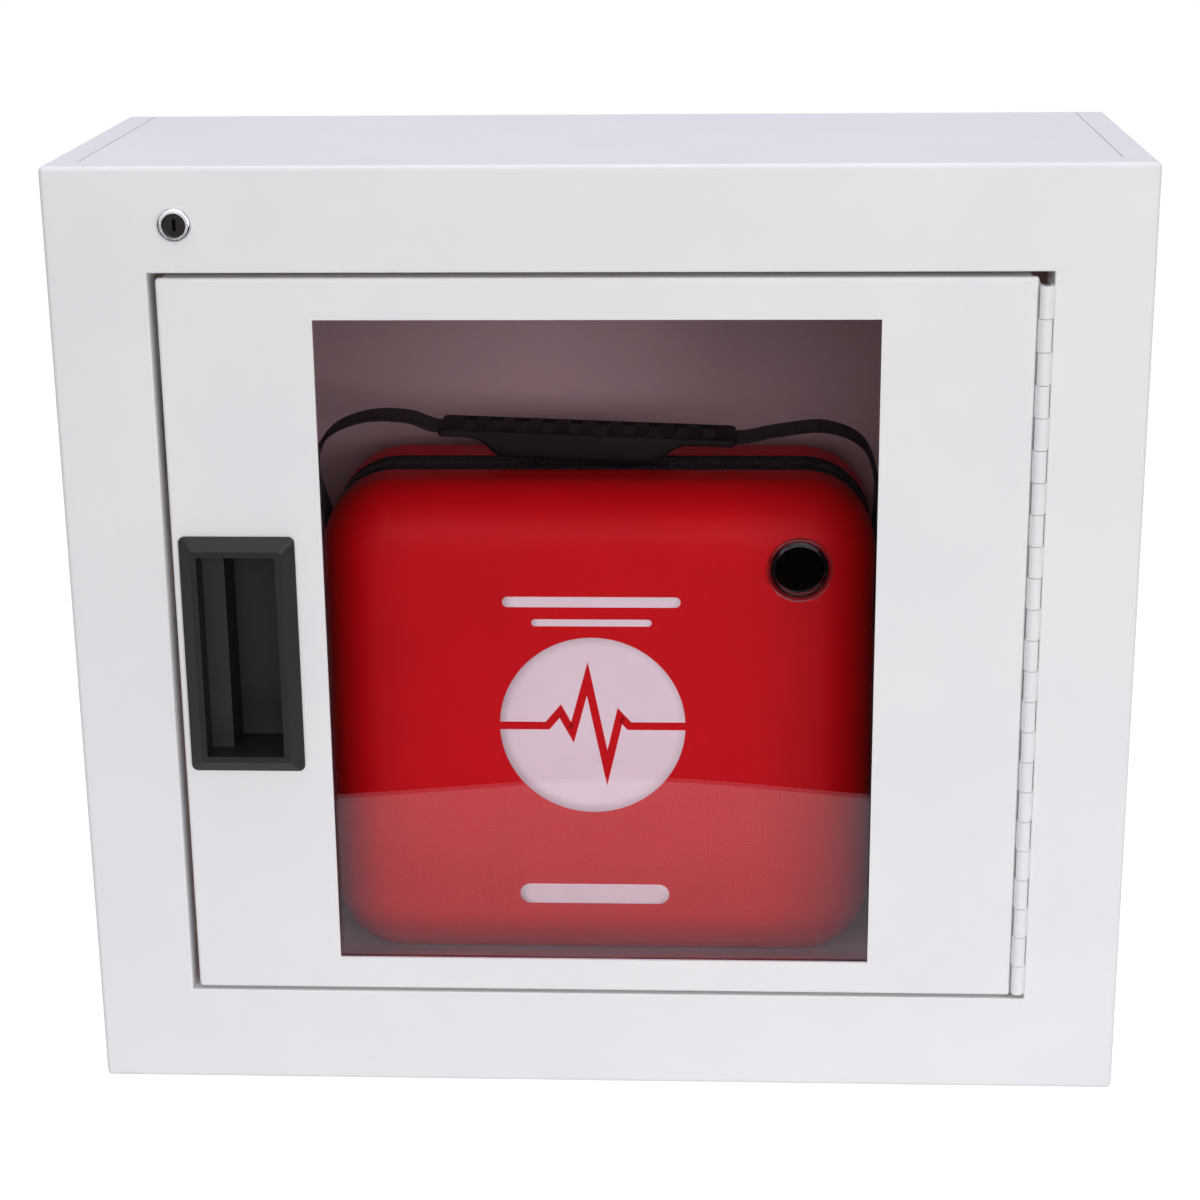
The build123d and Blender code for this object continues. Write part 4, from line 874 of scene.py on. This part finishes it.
@dataclass(frozen=True)
class CaseShell:
    """Half of the semi-rigid case: a pressed shell with a crowned face, a round edge and a rolled rim.

    The face bows by the crown times the mean of the fourth powers of the place across and up it, fading out
    round the edge. Rings run from the face's middle, round the edge, down the side, round the rim and back
    inside to the inner middle.
    """

    node: str
    inward: int
    edge: float
    crown: float = 1.6 * MM
    wall: float = 4 * MM
    rim: float = 1.5 * MM
    face_rings: int = 22
    edge_rings: int = 12

    def ends(self) -> tuple[float, float]:
        """Depth of the face and of the rim.

        Returns:
            The two depths along Y.
        """
        low, high = span(self.node)
        return (low[1], high[1]) if self.inward > 0 else (high[1], low[1])

    def bow(self, ring: Array, fade: float) -> Array:
        """How far the face falls back at each point of a ring.

        Args:
            ring: the points.
            fade: 1 on the face, 0 where the shell's side starts.

        Returns:
            The fall of each point, towards the inside.
        """
        outline = CaseOutline().outline()
        u = (ring[:, 0] - outline.centre[0]) / (outline.width / 2)
        w = (ring[:, 2] - outline.centre[1]) / (outline.height / 2)
        return self.crown * fade * (u**4 + w**4) / 2

    def depth_at(self, x: Array, z: Array) -> Array:
        """Depth of the outer face at places on it.

        Args:
            x: places across.
            z: places up.

        Returns:
            The depth along Y at each place.
        """
        points = np.stack([x, 0 * x, z], -1)
        return self.ends()[0] + self.inward * self.bow(points, 1.0)

    def _cup(self, inset: float) -> list[Array]:
        """Rings of one skin from its middle out to the start of its side.

        Args:
            inset: how far under the outer skin this skin lies.

        Returns:
            The rings, from the middle outwards.
        """
        outline = CaseOutline().outline()
        face = self.ends()[0] + self.inward * inset
        radius = self.edge - inset
        rings = []
        for share in np.linspace(0, 1, self.face_rings):
            rings.append((outline.ring(self.edge, face, share), 1.0))
        for angle in np.linspace(0, math.pi / 2, self.edge_rings)[1:]:
            ring = outline.ring(
                inset + radius * (1 - math.sin(angle)), face + self.inward * radius * (1 - math.cos(angle))
            )
            rings.append((ring, math.cos(angle)))
        for ring, fade in rings:
            ring[:, 1] += self.inward * self.bow(ring, fade)
        return [ring for ring, _ in rings]

    def build(self) -> bpy.types.Object:
        """Makes the shell.

        Returns:
            The finished shell.
        """
        outline = CaseOutline().outline()
        face, rim = self.ends()
        rings = self._cup(0.0)
        start = face + self.inward * self.edge
        for share in np.linspace(0, 1, 5)[1:]:
            rings.append(outline.ring(0.0, start + (rim - self.inward * self.rim - start) * share))
        for angle in np.linspace(0, math.pi / 2, 5)[1:]:
            rings.append(
                outline.ring(self.rim * (1 - math.cos(angle)), rim - self.inward * self.rim * (1 - math.sin(angle)))
            )
        rings.append(outline.ring(self.wall, rim))
        rings += self._cup(self.wall)[::-1]
        points, faces = swept_rings(rings)
        piece = Piece(
            self.node.replace("case", "pressed"),
            points,
            faces,
            RED_LAMINATE,
            Body.CASE,
            "red_laminate",
            (self.node,),
            box_uv(points, faces),
            weld_mm=0.005,
        ).place()
        log.info("%s: %d faces", piece.name, len(piece.data.polygons))
        return piece


@dataclass(frozen=True)
class Gusset:
    """The cloth side band between the shells: cloth, two zip tapes, the coil, piping and seams.

    Every part is a closed section, a few points of inset and depth, swept round the case's outline.
    """

    inset: float = 0.8 * MM
    thickness: float = 3.0 * MM
    tape_start: float = 3.1 * MM
    tape_width: float = 4.6 * MM
    tape_rise: float = 0.35 * MM
    tooth_pitch: float = 1.5 * MM
    tooth_length: float = 5.6 * MM
    piping_radius: float = 1.05 * MM
    seam_from_edge: float = 2.9 * MM
    stitch_pitch: float = 2.9 * MM

    def _depths(self) -> tuple[float, float]:
        """Front and back edge of the band.

        Returns:
            The two depths along Y.
        """
        low, high = span("case_gusset")
        return low[1], high[1]

    def _sweep(self, name: str, section: Sequence[tuple[float, float]], finish: Any, slot: str, **more: Any) -> None:
        """Sweeps a closed section of insets and depths round the outline.

        Args:
            name: the piece's name.
            section: the corners of the section, each an inset and a depth.
            finish: the piece's finish.
            slot: the record's material slot.
            **more: what else the piece is told.
        """
        outline = CaseOutline().outline()
        rings = [outline.ring(inset, y) for inset, y in section]
        points, faces = swept_rings(rings, wrap=True)
        steps = np.array([math.dist(section[k], section[(k + 1) % len(section)]) for k in range(len(section))])
        across = np.concatenate([[0.0], np.cumsum(steps)])
        columns = rings[0].shape[0]
        uv = grid_uv(faces, len(rings), columns, outline.along(), across, wrap_rows=True)
        Piece(name, points, faces, finish, Body.CASE, slot, uv=uv, **more).place()

    def build(self) -> None:
        """Makes the band's cloth, tapes, coil, piping and seams."""
        front, back = self._depths()
        middle = (front + back) / 2
        outer = [(self.inset, y) for y in np.linspace(front, back, 9)]
        inner = [(self.inset + self.thickness, y) for y in (back, front)]
        self._sweep("gusset_cloth", outer + inner, GUSSET_CLOTH, "black_webbing", replaces=("case_gusset",))
        for name, way in (("zip_tape_front", -1), ("zip_tape_back", 1)):
            near, far = middle + way * self.tape_start, middle + way * (self.tape_start + self.tape_width)
            rise, sunk = self.inset - self.tape_rise, self.inset + 0.4 * MM
            section = [(sunk, near), (rise, near), (rise, far), (sunk, far)]
            self._sweep(name, section, WEBBING, "zip_coil")
        for name, y in (("piping_front", front), ("piping_back", back)):
            angle = np.arange(10) * math.pi / 5
            radius, centre = self.piping_radius, self.inset + 0.3 * MM
            section = [(centre + radius * math.cos(a), y + radius * math.sin(a)) for a in angle]
            self._sweep(name, section, GUSSET_CLOTH, "black_webbing")
        self._coil(middle)
        outline = CaseOutline().outline()
        for name, y in (("seam_front", front + self.seam_from_edge), ("seam_back", back - self.seam_from_edge)):
            places, out, along = outline.even(self.inset, y, self.stitch_pitch)
            stitches(name, places, out, along, Body.CASE)
        log.info("gusset, tapes, piping and seams made")

    def _coil(self, y: float) -> None:
        """The zip's coil: a bead across the band at every turn of the coil.

        Args:
            y: the depth of the coil's middle.
        """
        places, out, along = CaseOutline().outline().even(self.inset - 0.1 * MM, y, self.tooth_pitch)
        unit, faces = bead(self.tooth_length, self.tooth_pitch * 0.8, 1.2 * MM, rows=6, columns=6)
        across = np.cross(out, along)
        points, quads = copies(unit, faces, places, (across, along, out))
        Piece("zip_coil", points, quads, NYLON, Body.CASE, "zip_coil", ("zip_teeth",), weld_mm=0.005).place()


@dataclass(frozen=True)
class CarryHandle:
    """The webbing strap and its rubber grip.

    The strap follows a route of points beside and above the case. Its section is a superellipse of exponent
    4, as wide as the webbing. The grip's section is the same kind, and its height changes along it: a
    deeper belly in the middle and a row of cross pockets on top.
    """

    width: float = 20 * MM
    thickness: float = 1.8 * MM
    grip_length: float = 126 * MM
    grip_width: float = 27 * MM
    grip_top: float = 2.4 * MM
    grip_under: float = 1.9 * MM
    grip_lift: float = 2.2 * MM
    belly: float = 9.3 * MM
    belly_half: float = 38 * MM
    belly_shift: float = -3.5 * MM
    pocket_pitch: float = 11.3 * MM
    pocket_depth: float = 3.4 * MM
    pocket_count: int = 10

    def _ends(self) -> tuple[Array, Array]:
        """Left and right end of the grip's centre line, as X and Z.

        Returns:
            The two ends.
        """
        low, high = span("case_front_shell")
        left = np.array([low[0] + 48 * MM, high[2] + 13.6 * MM + self.grip_lift])
        return left, np.array([left[0] + self.grip_length, high[2] + 8.8 * MM + self.grip_lift])

    def _route(self) -> Array:
        """The strap's centre line as X and Z, from the left anchor to the right one.

        Returns:
            The points of the line.
        """
        low, high = span("case_front_shell")
        middle, top = (low[0] + high[0]) / 2, high[2]
        left, right = middle - 117.1 * MM, middle + 117.1 * MM
        start, end = self._ends()
        lean = end - start
        rise = np.array([(0.0, -30.0), (-5.5, -3.0), (1.0, 12.5), (16.5, 19.8), (35.0, 20.0)]) * MM
        fall = np.array([(-41.0, 14.0), (-21.0, 15.6), (-5.5, 8.5), (0.6, -9.0), (0.0, -30.0)]) * MM
        up = smooth_path(np.vstack([rise + (left, top), start]), np.array([0.0, 1.0]), lean, 12)
        down = smooth_path(np.vstack([end, fall + (right, top)]), lean, np.array([0.0, -1.0]), 12)
        foot = np.linspace(0, 1, 14)[:, None]
        anchor = top - 72 * MM
        rising = np.array([[left, anchor]]) * (1 - foot) + up[:1] * foot
        falling = down[-1:] * (1 - foot) + np.array([[right, anchor]]) * foot
        under = start + (end - start) * np.linspace(0, 1, 30)[1:-1, None]
        return np.vstack([rising[:-1], up, under, down, falling[1:]])

    @staticmethod
    def _superellipse(count: int, power: float = 4.0) -> tuple[Array, Array]:
        """Unit section: across from -1 to 1 and up from -1 to 1.

        Args:
            count: how many points go round.
            power: how square the section is, from 2 for an ellipse.

        Returns:
            The places across and the places up.
        """
        angle = np.arange(count) * 2 * math.pi / count
        c, s = np.cos(angle), np.sin(angle)
        return np.sign(c) * np.abs(c) ** (2 / power), np.sign(s) * np.abs(s) ** (2 / power)

    def build(self) -> None:
        """Makes the strap, its seams and the grip."""
        low, high = span("carry_strap")
        y = (low[1] + high[1]) / 2
        route = self._route()
        slope = np.gradient(route, axis=0)
        slope /= np.linalg.norm(slope, axis=1)[:, None]
        normal = np.stack([-slope[:, 1], slope[:, 0]], -1)
        across, up = self._superellipse(28, 5.0)
        rings = []
        for scale, index in [(0.0, 0)] + [(1.0, k) for k in range(len(route))] + [(0.0, len(route) - 1)]:
            flat = route[index] + normal[index] * (up * scale * self.thickness / 2)[:, None]
            rings.append(np.stack([flat[:, 0], y + across * scale * self.width / 2, flat[:, 1]], -1))
        points, faces = swept_rings(rings)
        step = np.linalg.norm(np.diff(route, axis=0), axis=1)
        run = np.concatenate([[0.0], [0.0], np.cumsum(step), [np.sum(step)]])
        around = np.stack([across * self.width / 2, up * self.thickness / 2], -1)
        girth = np.linalg.norm(np.roll(around, -1, 0) - around, axis=1)
        uv = grid_uv(faces, len(rings), len(across), np.concatenate([[0.0], np.cumsum(girth)]), run)
        Piece(
            "webbing_strap", points, faces, WEBBING, Body.CASE, "black_webbing", ("carry_strap",), uv, weld_mm=0.005
        ).place()
        self._anchor_seams(y)
        self._grip(y)
        log.info("strap and grip made")

    def _anchor_seams(self, y: float) -> None:
        """A box of stitches with a cross in it, on the outside of each strap end.

        Args:
            y: the depth of the strap's middle.
        """
        route = self._route()
        half, bottom, top = 7.6 * MM, 4 * MM, 37 * MM
        corners = np.array([(-half, bottom), (half, bottom), (half, top), (-half, top), (-half, bottom)])
        cross = np.array([[(-half, bottom), (half, top)], [(half, bottom), (-half, top)]])
        legs = [corners[k : k + 2] for k in range(4)] + list(cross)
        for name, foot, way in (("anchor_seam_left", route[0], -1), ("anchor_seam_right", route[-1], 1)):
            places, along = [], []
            for start, end in legs:
                count = int(np.linalg.norm(end - start) / (2.6 * MM))
                share = (np.arange(count) + 0.5)[:, None] / count
                flat = start * (1 - share) + end * share
                x = np.full(count, foot[0] + way * self.thickness / 2)
                places.append(np.stack([x, y + flat[:, 0], foot[1] + flat[:, 1]], -1))
                heading = (end - start) / np.linalg.norm(end - start)
                along.append(np.repeat([[0.0, heading[0], heading[1]]], count, 0))
            places, along = np.concatenate(places), np.concatenate(along)
            out = np.repeat([[float(way), 0.0, 0.0]], len(places), 0)
            stitches(name, places, out, along, Body.CASE, 1.9)

    def _grip(self, y: float) -> None:
        """The moulded grip round the strap.

        Args:
            y: the depth of the strap's middle.
        """
        start, end = self._ends()
        way = (end - start) / np.linalg.norm(end - start)
        normal = np.array([-way[1], way[0]])
        s = np.linspace(-1, 1, 230)
        half = self.grip_length / 2
        across, up = self._superellipse(64, 5.0)
        centres = (start + end) / 2 + way * (s * half)[:, None]
        close = np.clip((1 - np.abs(s)) * half / (2.5 * MM), 0, 1)
        round_end = np.sqrt(1 - (1 - close) ** 2)
        deep = self.belly / (1 + np.exp((np.abs(s * half - self.belly_shift) - self.belly_half) / (2.2 * MM)))
        place = s * half / self.pocket_pitch + (self.pocket_count % 2 - 1) / 2
        wave = np.cos(2 * math.pi * place)
        inside = 1 / (1 + np.exp((np.abs(s) * half - self.pocket_pitch * self.pocket_count / 2) / (0.4 * MM)))
        dip = inside / (1 + np.exp((0.25 - wave) / 0.12))
        lane = 1 / (1 + np.exp((np.abs(across) - 0.78) / 0.03))
        top = np.clip(up, 0, None) * self.grip_top
        bottom = np.clip(-up, 0, None)[None, :] * (self.grip_under + deep)[:, None]
        drop = self.pocket_depth * dip[:, None] * (lane * (up > 0.75))[None, :]
        height = (top[None, :] - bottom - drop) * (0.35 + 0.65 * round_end)[:, None]
        breadth = across[None, :] * self.grip_width / 2 * (0.8 + 0.2 * round_end)[:, None]
        flat = centres[:, None, :] + normal * height[..., None]
        points = np.stack([flat[..., 0], y + breadth, flat[..., 1]], -1)
        cap = [np.repeat(np.array([[c[0], y, c[1]]]), len(across), 0) for c in (centres[0], centres[-1])]
        points, faces = swept_rings([cap[0], *points, cap[1]])
        piece = Piece(
            "rubber_grip", points, faces, GRIP_RUBBER, Body.CASE, "grip_rubber", ("strap_grip",), weld_mm=0.005
        ).place()
        log.info("%s: %d faces", piece.name, len(piece.data.polygons))


@dataclass(frozen=True)
class CasePadding:
    """The foam in the case: a crowned pad in the lid, and a tray that the device lies in."""

    pad_corner: float = 6 * MM
    tray_corner: float = 25.4 * MM
    pocket_corner: float = 16.6 * MM
    pocket_gap: float = 0.6 * MM
    edge: float = 16 * MM
    lip: float = 1.5 * MM

    def build(self) -> None:
        """Makes the pad and the tray."""
        self._pad()
        self._tray()
        log.info("foam pad and tray made")

    def _pad(self) -> None:
        """A foam slab whose edges are rounded and whose free face swells a little in the middle."""
        low, high = span("lid_pad")
        middle = (low + high) / 2
        outline = Outline((middle[0], middle[2]), high[0] - low[0], high[2] - low[2], self.pad_corner)
        rings = [outline.ring(self.lip, low[1], share) for share in np.linspace(0, 1, 12)]
        for angle in np.linspace(0, math.pi / 2, 5)[1:]:
            rings.append(outline.ring(self.lip * (1 - math.sin(angle)), low[1] + self.lip * (1 - math.cos(angle))))
        for angle in np.linspace(0, math.pi / 2, 7):
            round_back = 2.2 * self.lip
            inset = round_back * (1 - math.cos(angle))
            rings.append(outline.ring(inset, high[1] - round_back * (1 - math.sin(angle))))
        for share in np.linspace(1, 0, 14)[1:]:
            rings.append(outline.ring(2.2 * self.lip, high[1] + 0.8 * MM * (1 - share**2), share))
        points, faces = swept_rings(rings)
        pad = Piece("lid_foam", points, faces, BLACK_FOAM, Body.CASE, "black_foam", ("lid_pad",), weld_mm=0.005).place()
        pierce(pad, "status_grommet", STATUS_SLEEVE)

    def _tray(self) -> None:
        """A foam block with the device's pocket cut in it, from its back round to the pocket's floor."""
        low, high = span("case_tray")
        middle = (low + high) / 2
        outer = Outline((middle[0], middle[2]), high[0] - low[0], high[2] - low[2], self.tray_corner)
        device_low, device_high = span("device_rear_housing")
        size = device_high - device_low + 2 * self.pocket_gap
        pocket = Outline((middle[0], middle[2]), size[0], size[2], self.pocket_corner)
        rings = [outer.ring(self.edge, high[1], share) for share in np.linspace(0, 1, 10)]
        for angle in np.linspace(0, math.pi / 2, 8)[1:]:
            rings.append(outer.ring(self.edge * (1 - math.sin(angle)), high[1] - self.edge * (1 - math.cos(angle))))
        for angle in np.linspace(0, math.pi / 2, 5):
            rings.append(outer.ring(self.lip * (1 - math.cos(angle)), low[1] + self.lip * (1 - math.sin(angle))))
        for angle in np.linspace(0, math.pi / 2, 5):
            rings.append(pocket.ring(-self.lip * (1 - math.sin(angle)), low[1] + self.lip * (1 - math.cos(angle))))
        rings += [pocket.ring(0.0, device_high[1], share) for share in np.linspace(1, 0, 10)]
        points, faces = swept_rings(rings)
        tray = Piece(
            "device_foam_tray", points, faces, BLACK_FOAM, Body.CASE, "black_foam", ("case_tray",), weld_mm=0.005
        ).place()


@dataclass(frozen=True)
class CasePrint:
    """Generic white screen print on the front shell: a disc crossed by a pulse line, and plain bars.

    Each mark is a closed skin a tenth of a millimetre thick that follows the crowned face.
    """

    shell: CaseShell
    rise: float = 0.12 * MM
    disc_diameter: float = 78 * MM
    line_width: float = 3.4 * MM
    disc_place: tuple[float, float] = (-1.9 * MM, 4.5 * MM)
    bars: Sequence[tuple[float, float, float]] = ((59.0, 74.0, 4.5), (50.0, 50.0, 3.0), (-72.5, 64.0, 9.0))
    pulse: Sequence[tuple[float, float]] = (
        (-40.0, 0.0),
        (-19.0, 0.0),
        (-13.5, 6.5),
        (-8.5, -3.0),
        (-2.0, 21.0),
        (6.0, -19.0),
        (11.5, 4.5),
        (15.5, 0.0),
        (40.0, 0.0),
    )

    def _skin(self, name: str, outline: Outline) -> None:
        """One printed mark that fills an outline.

        Args:
            name: the piece's name.
            outline: the mark's edge.
        """
        rings = []
        front = [(share, -self.rise) for share in np.linspace(0, 1, 9)]
        for share, lift in front + [(share, 0.1 * MM) for share in np.linspace(1, 0, 9)]:
            ring = outline.ring(0.0, 0.0, share)
            ring[:, 1] = self.shell.depth_at(ring[:, 0], ring[:, 2]) + lift
            rings.append(ring)
        points, faces = swept_rings(rings)
        Piece(name, points, faces, SCREEN_INK, Body.CASE, "red_laminate", weld_mm=0.002).place()

    def build(self) -> None:
        """Makes the disc, the pulse line and the bars."""
        centre = CaseOutline().outline().centre
        place = (centre[0] + self.disc_place[0], centre[1] + self.disc_place[1])
        size = self.disc_diameter
        self._skin("print_disc", Outline(place, size, size, size / 2, per_corner=24, per_side=0))
        for index, (up, width, height) in enumerate(self.bars):
            spot = (place[0], centre[1] + up * MM)
            bar = Outline(spot, width * MM, height * MM, height * MM / 2, per_corner=7, per_side=12)
            self._skin(f"print_bar_{index + 1}", bar)
        knots = np.array(self.pulse) * MM
        share = np.linspace(0, 1, 6)[:-1, None]
        fine = np.vstack([start * (1 - share) + end * share for start, end in zip(knots[:-1], knots[1:])])
        left, right = thick_line(np.vstack([fine, knots[-1:]]), self.line_width / 2)
        rings = []
        for edge, lift in ((left, -2 * self.rise), (right, -2 * self.rise), (right, 0.0), (left, 0.0)):
            x, z = edge[:, 0] + place[0], edge[:, 1] + place[1]
            rings.append(np.stack([x, self.shell.depth_at(x, z) + lift, z], -1))
        section = np.stack(rings, 1)
        middle = section.mean(1, keepdims=True)
        section = np.concatenate([np.repeat(middle[:1], 4, 1), section, np.repeat(middle[-1:], 4, 1)])
        points, faces = swept_rings(list(section))
        uv = box_uv(points, faces)
        Piece(
            "print_pulse", points, faces, RED_LAMINATE, Body.CASE, "red_laminate", uv=uv, smooth=False, weld_mm=0.002
        ).place()
        log.info("print made")


# ---------------------------------------------------------------- studio
@dataclass(frozen=True)
class Softbox:
    """One soft area light."""

    name: str
    place: tuple[float, float, float]
    aim: tuple[float, float, float]
    size: tuple[float, float]
    watts: float
    colour: str = "ffffff"

    def build(self) -> bpy.types.Object:
        """Makes the light, aimed.

        Returns:
            The light.
        """
        data = bpy.data.lights.new(self.name, "AREA")
        data.shape = "RECTANGLE"
        data.size, data.size_y = self.size
        data.energy = self.watts
        data.color = linear(self.colour)[:3]
        light = bpy.data.objects.new(self.name, data)
        light.location = self.place
        light.rotation_euler = (Vector(self.aim) - Vector(self.place)).to_track_quat("-Z", "Y").to_euler()
        bpy.context.scene.collection.objects.link(light)
        return light


@dataclass(frozen=True)
class Studio:
    """White table, white surround, soft lights and the camera."""

    camera_place: tuple[float, float, float] = (0.04885, -1.01998, 0.51427)
    lens_mm: float = 76.14
    pitch: float = 0.3096
    yaw: float = 0.0511
    roll: float = -0.0114
    table_edge: float = -0.407
    table_fall: float = 0.054
    table_bend: float = 0.15
    lights: Sequence[Softbox] = (
        Softbox("front", (-0.1, -1.7, 0.62), (0, 0, 0.2), (1.7, 1.1), 11),
        Softbox("right", (1.1, -1.6, 0.42), (0, 0, 0.2), (0.7, 0.6), 9.5),
        Softbox("top", (0.0, 0.1, 1.9), (0, 0, 0), (1.6, 1.6), 20, "ececff"),
    )

    def build(self) -> None:
        """Makes the whole studio."""
        self._table()
        self._camera()
        [light.build() for light in self.lights]
        self._surround()
        bpy.context.scene.view_settings.view_transform = "Standard"
        log.info("studio made")

    def _camera(self) -> bpy.types.Object:
        """The camera, turned by yaw, pitch down and roll.

        Returns:
            The camera.
        """
        forward = Vector(
            (
                -math.sin(self.yaw) * math.cos(self.pitch),
                math.cos(self.yaw) * math.cos(self.pitch),
                -math.sin(self.pitch),
            )
        )
        level = Vector((math.cos(self.yaw), math.sin(self.yaw), 0.0))
        upright = level.cross(forward)
        right = math.cos(self.roll) * level + math.sin(self.roll) * upright
        up = math.cos(self.roll) * upright - math.sin(self.roll) * level
        data = bpy.data.cameras.new("camera")
        data.lens, data.sensor_width = self.lens_mm, 36.0
        camera = bpy.data.objects.new("camera", data)
        turn = Matrix((right, up, -forward)).transposed().to_4x4()
        camera.matrix_world = Matrix.Translation(self.camera_place) @ turn
        bpy.context.scene.collection.objects.link(camera)
        bpy.context.scene.camera = camera
        return camera

    def _table(self) -> bpy.types.Object:
        """A white table top whose front edge is a shallow arc, furthest forward in the middle.

        The edge falls back by 54 mm times q / (1 + q), where q is the square of the place across over 0.15 m.

        Returns:
            The table top.
        """
        x = np.linspace(-3, 3, 241)
        q = (x / self.table_bend) ** 2
        front = self.table_edge + self.table_fall * q / (1 + q)
        share = np.linspace(0, 1, 5)[:, None]
        y = front * (1 - share) + 3.0 * share
        points = np.stack([np.repeat(x[None], 5, 0), y, np.full((5, len(x)), -0.0004)], -1)
        mesh = bpy.data.meshes.new("table")
        mesh.from_pydata(points.reshape(-1, 3).tolist(), [], grid_faces(5, len(x), wrap_columns=False).tolist())
        material, tree, output = new_tree("white_laminate_table")
        paint = add_node(tree, "ShaderNodeBsdfDiffuse", {"Color": linear("f0f0f2")})
        glow = add_node(tree, "ShaderNodeEmission", {"Color": linear("ffffff"), "Strength": 1.15})
        path = add_node(tree, "ShaderNodeLightPath").outputs
        share_glow = add_node(
            tree, "ShaderNodeMath", {0: path["Is Camera Ray"], 1: 0.85}, {"operation": "MULTIPLY"}
        ).outputs[0]
        mix = add_node(tree, "ShaderNodeMixShader", {0: share_glow, 1: paint.outputs[0], 2: glow.outputs[0]})
        tree.links.new(mix.outputs[0], output.inputs[0])
        mesh.materials.append(material)
        table = bpy.data.objects.new("table", mesh)
        bpy.context.scene.collection.objects.link(table)
        return table

    def _surround(self) -> None:
        """A surround that is white to the camera and dim to the rest; reflections find it dark below the horizon."""
        world = bpy.data.worlds.new("surround")
        world.use_nodes = True
        tree = world.node_tree
        tree.nodes.clear()
        path = add_node(tree, "ShaderNodeLightPath").outputs
        light = add_node(tree, "ShaderNodeBackground", {"Color": linear("ffffff"), "Strength": 0.3})
        height = add_node(
            tree, "ShaderNodeSeparateXYZ", {"Vector": add_node(tree, "ShaderNodeTexCoord").outputs["Generated"]}
        ).outputs["Z"]
        above = add_node(
            tree,
            "ShaderNodeMapRange",
            {"Value": height, "From Min": -0.02, "From Max": 0.3, "To Min": 0.01, "To Max": 0.8},
        ).outputs["Result"]
        dark = add_node(tree, "ShaderNodeBackground", {"Color": linear("ffffff"), "Strength": above})
        white = add_node(tree, "ShaderNodeBackground", {"Color": linear("ffffff"), "Strength": 1.0})
        shiny = add_node(
            tree, "ShaderNodeMixShader", {0: path["Is Glossy Ray"], 1: light.outputs[0], 2: dark.outputs[0]}
        )
        seen = add_node(
            tree, "ShaderNodeMixShader", {0: path["Is Camera Ray"], 1: shiny.outputs[0], 2: white.outputs[0]}
        )
        output = add_node(tree, "ShaderNodeOutputWorld")
        tree.links.new(seen.outputs[0], output.inputs[0])
        bpy.context.scene.world = world


def main() -> None:
    """Builds the studio, dresses the CAD nodes and makes the new pieces."""
    logging.basicConfig(level=logging.INFO, format="%(name)s: %(message)s")
    Studio().build()
    dress_cad_nodes()
    front = CaseShell("case_front_shell", 1, 24 * MM)
    pierce(front.build(), "status_grommet", STATUS_SLEEVE)
    CaseShell("case_back_shell", -1, 20 * MM, crown=0.6 * MM).build()
    Gusset().build()
    CarryHandle().build()
    CasePadding().build()
    CasePrint(front).build()


if __name__ == "__main__":
    main()
